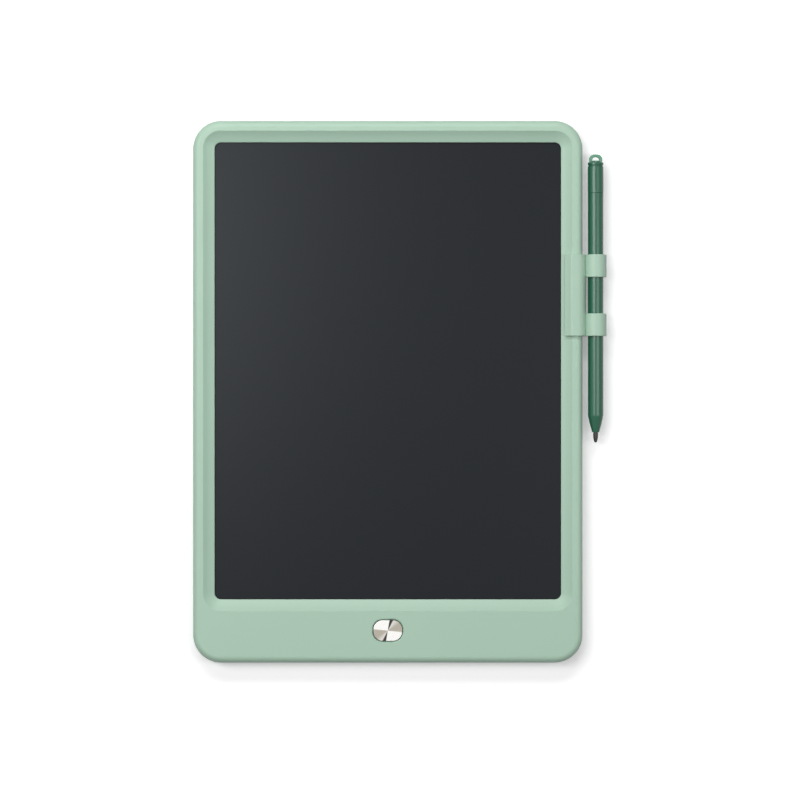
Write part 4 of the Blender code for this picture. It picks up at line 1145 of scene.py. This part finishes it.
@dataclass
class PenClip:
    """The clip round the right edge, with the two loops that hold the pen.

    Attributes:
        body: The shared sizes.
        span: The clip's ends along the edge.
        gap: Clearance to the body.
        wall: Thickness of the clip.
        lip_reach: Distance of the upper lip's edge out from the screen opening.
        lower_reach: Reach of the lower lip in from the side.
        lower_face: Height of the lower lip's underside.
        edge: Radius of the clip's edges.
        loop_length: Length of a loop.
        loop: Outer radius and bore of a loop.
        loop_edge: Radius of a loop's outer edges.
        lead: Depth of the countersink at a bore's ends.
    """

    body: Body
    span: Pair = (0.02465, 0.06075)
    gap: float = 0.0003
    wall: float = 0.0013
    lip_reach: float = 0.0021
    lower_reach: float = 0.0065
    lower_face: float = 0.00025
    edge: float = 0.00028
    loop_length: float = 0.010
    loop: Pair = (0.00485, 0.0037)
    loop_edge: float = 0.0003
    lead: float = 0.00015

    def path(self) -> list[Pair]:
        """Work out the inner face's section.

        Returns:
            Points across and up, from the lower lip's edge round the side to the dish.
        """
        body, gap = self.body, self.gap
        half, height, width = body.width / 2, body.height, body.dish[0]
        points = [(half - self.lower_reach, body.step - gap)]
        edge, rim = body.back_edge, body.round_over
        points += arc((half - edge, body.step + edge), edge + gap, -QUARTER, 0.0, 6)
        points += arc((half - rim, height - rim), rim + gap, 0.0, QUARTER, 8)
        crest = body.opening[0] / 2 + width
        points += arc((crest, height), gap, QUARTER, QUARTER + body.slant(0.0), 4)
        last = 1 - self.lip_reach / width
        for step in range(1, 7):
            share = last * step / 6
            lean = body.slant(share)
            place = (crest - width * share, height - body.drop(share))
            points.append((place[0] - gap * math.sin(lean), place[1] + gap * math.cos(lean)))
        return points

    def strip(self) -> Workpiece:
        """Model the bent strip: a plate that is extruded along the section and given its wall."""
        path = self.path()
        deselect()
        (first, level), (second, _) = path[:2]
        low, high = self.span
        bpy.ops.mesh.primitive_plane_add(size=1.0, location=((first + second) / 2, (low + high) / 2, level))
        bpy.context.object.scale = (second - first, high - low, 1.0)
        strip = Workpiece(bpy.context.object, "pen_clip_moulding")
        moves = [(here[0] - past[0], 0.0, here[1] - past[1]) for past, here in zip(path[1:], path[2:])]
        strip.extrude(Part.EDGES, running(Axis.ALONG.value, near(0, second)), *moves)
        strip.outward()
        side = self.body.width / 2
        outwards = sum(face.normal.x for face in strip.obj.data.polygons if face.center.x > side)
        offset = math.copysign(1.0, outwards)
        strip.modify("SOLIDIFY", thickness=self.wall, offset=offset, use_even_offset=True)
        with strip.editing(Part.POINTS, everything):
            level = (0.0, 0.0, self.lower_face)
            bpy.ops.mesh.bisect(plane_co=level, plane_no=UP, use_fill=True, clear_inner=True)
        strip.outward()
        return strip.soften(self.edge, steps=3, angle=40.0)

    def round_piece(self, name: str, end: float, half: Sequence[Pair]) -> Workpiece:
        """Turn a piece about the pen's axis that is alike at both ends of a loop.

        Args:
            name: Name of the piece.
            end: The loop's lower end along the edge.
            half: Stations of its lower half.

        Returns:
            The new piece.
        """
        stations = [*half, *[(self.loop_length - place, radius) for place, radius in reversed(half)]]
        foot = (PEN_AXIS[0], end, PEN_AXIS[1])
        return Workpiece.turned(name, foot, stations, steps=64, axis=Axis.ALONG)

    def build(self) -> None:
        """Model the clip and put it in place."""
        strip = self.strip()
        outer, bore = self.loop
        edge, lead = self.loop_edge, self.lead
        ends = (self.span[0], self.span[1] - self.loop_length)
        for end in ends:
            strip.add(self.round_piece(
                "loop", end, [(0.0, outer - edge), (edge * 0.3, outer - edge * 0.3), (edge, outer)],
            ))
        for end in ends:
            strip.cut(self.round_piece("loop_bore", end, [(-lead, bore + 2 * lead), (lead, bore)]))
        strip.deliver(Finish.SAGE, "pen_clip", "pen_clip")


@dataclass
class Pen:
    """The pen: a barrel with its cone, a nib, an end cap with a ring groove and a flat eye.

    Attributes:
        radius: Radius of the barrel.
        cap_radius: Radius of the cap.
        cone: Radius at the cone's end.
        cone_end: Place of the cone's end along the tablet.
        cone_round: Radius of its edge.
        bulge: How far the cone bulges.
        shoulder: Place where the barrel's full radius starts.
        barrel_top: Place of the barrel's end, and radius of its edge.
        cap_foot: Place of the cap's foot, and radius of its edge.
        cap_top: Place of the cap's end, and radius of its edge.
        groove: Place of the cap's ring groove.
        groove_half: Half widths of the groove, from outside to its floor, with the depth at each.
        nib: Radius of the nib and of its tip.
        nib_tip: Place of the tip.
        bluntness: Length of the tip's round as a share of its radius.
        nib_taper: Distances below the cone's end, and the share of the nib's radius at each.
        shank: Radius and length of the nib's shank.
        eye_ends: Places of the eye's base and top.
        eye_width: Width of the eye.
        eye_thickness: Thickness of the eye.
        eye_corner: Radius of its upper corners.
        eye_hole: Width and height of its hole.
        sill: Height of the hole over the base.
        lintel_flat: Width of the flat at the top of the hole.
        eye_edge: Radius of the eye's edges.
        stem: Radius of its stem.
        stem_ends: Places of the stem's ends.
    """

    radius: float = 0.003425
    cap_radius: float = 0.003475
    cone: float = 0.0016
    cone_end: float = -0.018
    cone_round: float = 0.0002
    bulge: float = 0.00012
    shoulder: float = -0.0103
    barrel_top: Pair = (0.08805, 0.0001)
    cap_foot: Pair = (0.0881, 0.00012)
    cap_top: Pair = (0.1017, 0.00045)
    groove: float = 0.1001
    groove_half: tuple[Pair, ...] = ((0.00035, 0.0), (0.00028, 0.0002), (0.00015, 0.0003))
    nib: Pair = (0.0011, 0.0007)
    nib_tip: float = -0.0225
    bluntness: float = 0.8
    nib_taper: tuple[Pair, ...] = ((0.0025, 0.94), (0.0012, 1.0), (0.0001, 1.0))
    shank: Pair = (0.0007, 0.0119)
    eye_ends: Pair = (0.102, 0.1051)
    eye_width: float = 0.0058
    eye_thickness: float = 0.0022
    eye_corner: float = 0.0022
    eye_hole: Pair = (0.00305, 0.0016)
    sill: float = 0.0004
    lintel_flat: float = 0.00006
    eye_edge: float = 0.0003
    stem: float = 0.001
    stem_ends: Pair = (0.0983, 0.1022)

    def turned(self, name: str, stations: Sequence[Pair], steps: int = 64) -> Workpiece:
        """Turn a piece about the pen's axis from stations along the tablet's length."""
        return Workpiece.turned(name, (PEN_AXIS[0], 0.0, PEN_AXIS[1]), stations, steps, Axis.ALONG)

    def foot_edge(self, end: float, radius: float, edge: float) -> list[Pair]:
        """The stations of a rounded lower end, from its face to the full radius."""
        return arc((end + edge, radius - edge), edge, 2 * QUARTER, QUARTER, 5)

    def top_edge(self, end: float, radius: float, edge: float) -> list[Pair]:
        """The stations of a rounded upper end, from the full radius to its face."""
        return arc((end - edge, radius - edge), edge, QUARTER, 0.0, 5)

    def barrel(self) -> Workpiece:
        """Model the barrel with its slightly bulging cone."""
        low = self.cone_end + self.cone_round
        length = self.shoulder - self.cone_round - low
        cone = []
        for share in (step / 10 for step in range(1, 10)):
            bulge = self.bulge * math.sin(share * math.pi)
            cone.append((low + length * share, self.cone + (self.radius - self.cone) * share + bulge))
        tip = self.foot_edge(self.cone_end, self.cone, self.cone_round)
        end, edge = self.barrel_top
        top = self.top_edge(end, self.radius, edge)
        return self.turned("pen_barrel_turned", [*tip, *cone, (self.shoulder, self.radius), *top])

    def cap(self) -> Workpiece:
        """Model the end cap with its ring groove."""
        radius = self.cap_radius
        ring = [(self.groove - half, radius - depth) for half, depth in self.groove_half]
        ring += [(self.groove + half, radius - depth) for half, depth in reversed(self.groove_half)]
        (foot, low), (top, high) = self.cap_foot, self.cap_top
        stations = [*self.foot_edge(foot, radius, low), *ring, *self.top_edge(top, radius, high)]
        return self.turned("pen_cap_turned", stations)

    def point(self) -> Workpiece:
        """Model the nib with its shank and rounded tip."""
        (wide, tip), (shank, length), end = self.nib, self.shank, self.cone_end
        stations = []
        for turn in (QUARTER * step / 6 for step in range(1, 7)):
            back = tip * self.bluntness * (1 - math.cos(turn))
            stations.append((self.nib_tip + back, tip * math.sin(turn)))
        stations += [(end - below, wide * share) for below, share in self.nib_taper]
        stations += [(end, shank), (end + length, shank)]
        return self.turned("pen_nib_turned", stations, steps=40)

    def eye(self) -> Workpiece:
        """Model the flat eye with its half-round hole."""
        x, z = PEN_AXIS
        base, top = self.eye_ends
        wide, thick = self.eye_width / 2, self.eye_thickness / 2
        eye = Workpiece.block("pen_eye_moulding", (x - wide, base, z - thick), (x + wide, top, z + thick))
        eye.bevel(running(UP, near(1, top)), self.eye_corner, steps=10)
        wide, sill = self.eye_hole[0] / 2, base + self.sill
        lintel = sill + self.eye_hole[1]
        room = thick + OVERRUN
        hole = Workpiece.block("eye_hole", (x - wide, sill, z - room), (x + wide, lintel, z + room))
        hole.bevel(running(UP, near(1, lintel)), wide - self.lintel_flat / 2, steps=10)
        eye.cut(hole)
        eye.soften(self.eye_edge, steps=3, angle=50.0)
        return eye.add(self.turned("eye_stem", [(end, self.stem) for end in self.stem_ends], steps=24))

    def build(self) -> None:
        """Model the pen's four pieces and put them in place."""
        self.barrel().deliver(Finish.PEN_GREEN, "pen", "pen_barrel", angle=40.0)
        self.cap().deliver(Finish.PEN_GREEN, "pen", "pen_end_cap", angle=40.0)
        self.point().deliver(Finish.NIB, "pen", "pen_nib", angle=40.0)
        self.eye().deliver(Finish.EYE_GREEN, "pen", "pen_eye")


@dataclass
class CarriedParts:
    """What keeps the shape of its CAD solid: small hardware with softened edges, and the layers and insides.

    Attributes:
        softened: Solids that show, with the width of their edge round.
    """

    softened: dict[str, float]

    def build(self, frame: dict) -> None:
        """Dress every solid that no new piece stands for.

        Args:
            frame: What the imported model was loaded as.
        """
        slots = {row["node"]: row["material_slot"] for row in frame["record"]["subparts"]}
        bodies = frame["record"]["behaviour"]["bodies"]
        carriers = {node: body for body, nodes in bodies.items() for node in nodes}
        by_slot = {finish.value.name: finish for finish in Finish}
        for node, width in self.softened.items():
            piece = Workpiece.copy_of(node, f"{node}_finished")
            piece.soften(width, steps=2, angle=35.0)
            piece.deliver(by_slot[slots[node]], carriers[node], node)
        for node, obj in frame["nodes"].items():
            if obj.hide_render:
                continue
            for place in obj.material_slots:
                place.material = by_slot[slots[node]].material()
            LOG.info("%s: CAD solid in %s", node, slots[node])


@dataclass(frozen=True)
class Lamp:
    """A rectangular lamp that faces a point.

    Attributes:
        name: Name of the lamp.
        place: Its middle.
        target: The point that it faces.
        size: Its width and length; the length lies along the tablet.
        power: Its power in watts.
    """

    name: str
    place: tuple[float, float, float]
    target: tuple[float, float, float]
    size: Pair
    power: float

    def build(self) -> None:
        """Add the lamp."""
        data = bpy.data.lights.new(self.name, "AREA")
        data.shape = "RECTANGLE"
        data.size, data.size_y = self.size
        data.energy = self.power
        lamp = bpy.data.objects.new(self.name, data)
        bpy.context.scene.collection.objects.link(lamp)
        lamp.location = self.place
        way = Vector(self.target) - Vector(self.place)
        lamp.rotation_euler = way.to_track_quat("-Z", "Y").to_euler()


@dataclass
class Studio:
    """A white table and room, soft light from above, left and right, and a camera straight above.

    Attributes:
        camera: Place of the camera.
        field: Width of the view at the height of the frame's crest.
        focus: Height of the frame's crest.
        sensor: Width of the camera's sensor in millimetres.
        ambient: Strength of the even light.
        bounce: Whiteness of the table for the light that it throws back on the object.
        white: Whiteness of the table for the eye.
        glow: The table's own light for the eye, near the object and far away.
        glow_range: Distances from the object at which the two hold.
        table_size: Width of the table.
        table_level: Height of the table, a hair under the tablet.
        lamps: The lamps.
    """

    camera: tuple[float, float, float] = (0.0054, -0.00365, 1.3)
    field: float = 0.3536
    focus: float = 0.0105
    sensor: float = 36.0
    ambient: float = 0.11
    bounce: float = 0.30
    white: float = 0.95
    glow: Pair = (0.3, 1.0)
    glow_range: Pair = (0.4, 2.0)
    table_size: float = 6.0
    table_level: float = -0.00005
    lamps: tuple[Lamp, ...] = (
        Lamp("top_box", (-0.10, 0.66, 0.70), (0.0, 0.03, 0.0), (0.7, 0.22), 4.1),
        Lamp("left_box", (-0.52, 0.20, 1.05), (0.0, 0.03, 0.0), (0.34, 0.8), 6.2),
        Lamp("right_box", (0.66, 0.0, 1.05), (0.05, 0.0, 0.0), (0.3, 0.8), 3.1),
    )

    def table(self) -> None:
        """Add the white table that the tablet lies on."""
        deselect()
        bpy.ops.mesh.primitive_plane_add(size=self.table_size, location=(0.0, 0.0, self.table_level))
        table = Workpiece(bpy.context.object, "table").obj
        graph = Coating("table_white")
        across, along, _ = graph.axes(graph.place())
        near_end, far_end = self.glow_range
        distance = (across * across + along * along) ** 0.5
        far = ((distance - near_end) / (far_end - near_end)).function("MAXIMUM", 0.0).function("MINIMUM", 1.0)
        seen = graph.eye_rays()
        dim, bright = [(glow, glow, glow, 1.0) for glow in self.glow]
        grey, white = [(tone, tone, tone, 1.0) for tone in (self.bounce, self.white)]
        table.data.materials.append(graph.finish(
            Base_Color=graph.mix(seen, grey, white), Roughness=0.9, Emission_Strength=1.0,
            Emission_Color=graph.mix(seen, (0.0, 0.0, 0.0, 1.0), graph.mix(far, dim, bright)),
        ))

    def room(self) -> None:
        """Surround the scene with white for the eye, and with the even light for all else."""
        world = bpy.data.worlds.new("room")
        world.use_nodes = True
        graph = Graph(world.node_tree)
        background = world.node_tree.nodes["Background"]
        graph.feed(background.inputs["Color"], (1.0, 1.0, 1.0, 1.0))
        graph.feed(background.inputs["Strength"], graph.spread(graph.eye_rays(), self.ambient, 1.0))
        bpy.context.scene.world = world

    def build(self) -> None:
        """Set up the table, the light and the camera."""
        scene = bpy.context.scene
        scene.view_settings.view_transform = "Standard"
        self.room()
        self.table()
        for lamp in self.lamps:
            lamp.build()
        data = bpy.data.cameras.new("camera")
        data.sensor_width = self.sensor
        data.lens = self.sensor * (self.camera[2] - self.focus) / self.field
        camera = bpy.data.objects.new("camera", data)
        scene.collection.objects.link(camera)
        camera.location = self.camera
        scene.camera = camera


def main() -> None:
    """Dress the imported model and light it."""
    logging.basicConfig(level=logging.INFO, format="%(name)s %(message)s")
    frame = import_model()
    body = Body()
    for assembly in (FrontFrame(body), BackCover(body), EraseButton(), PenClip(body), Pen()):
        assembly.build()
    screws = [*[f"housing_screw_{number}" for number in range(1, 7)], "battery_door_screw"]
    CarriedParts({
        **dict.fromkeys(screws, 0.00008), "battery_door": 0.00018, "lock_slider": 0.00012,
        "button_carrier": 0.0001,
    }).build(frame)
    Studio().build()


if __name__ == "__main__":
    main()
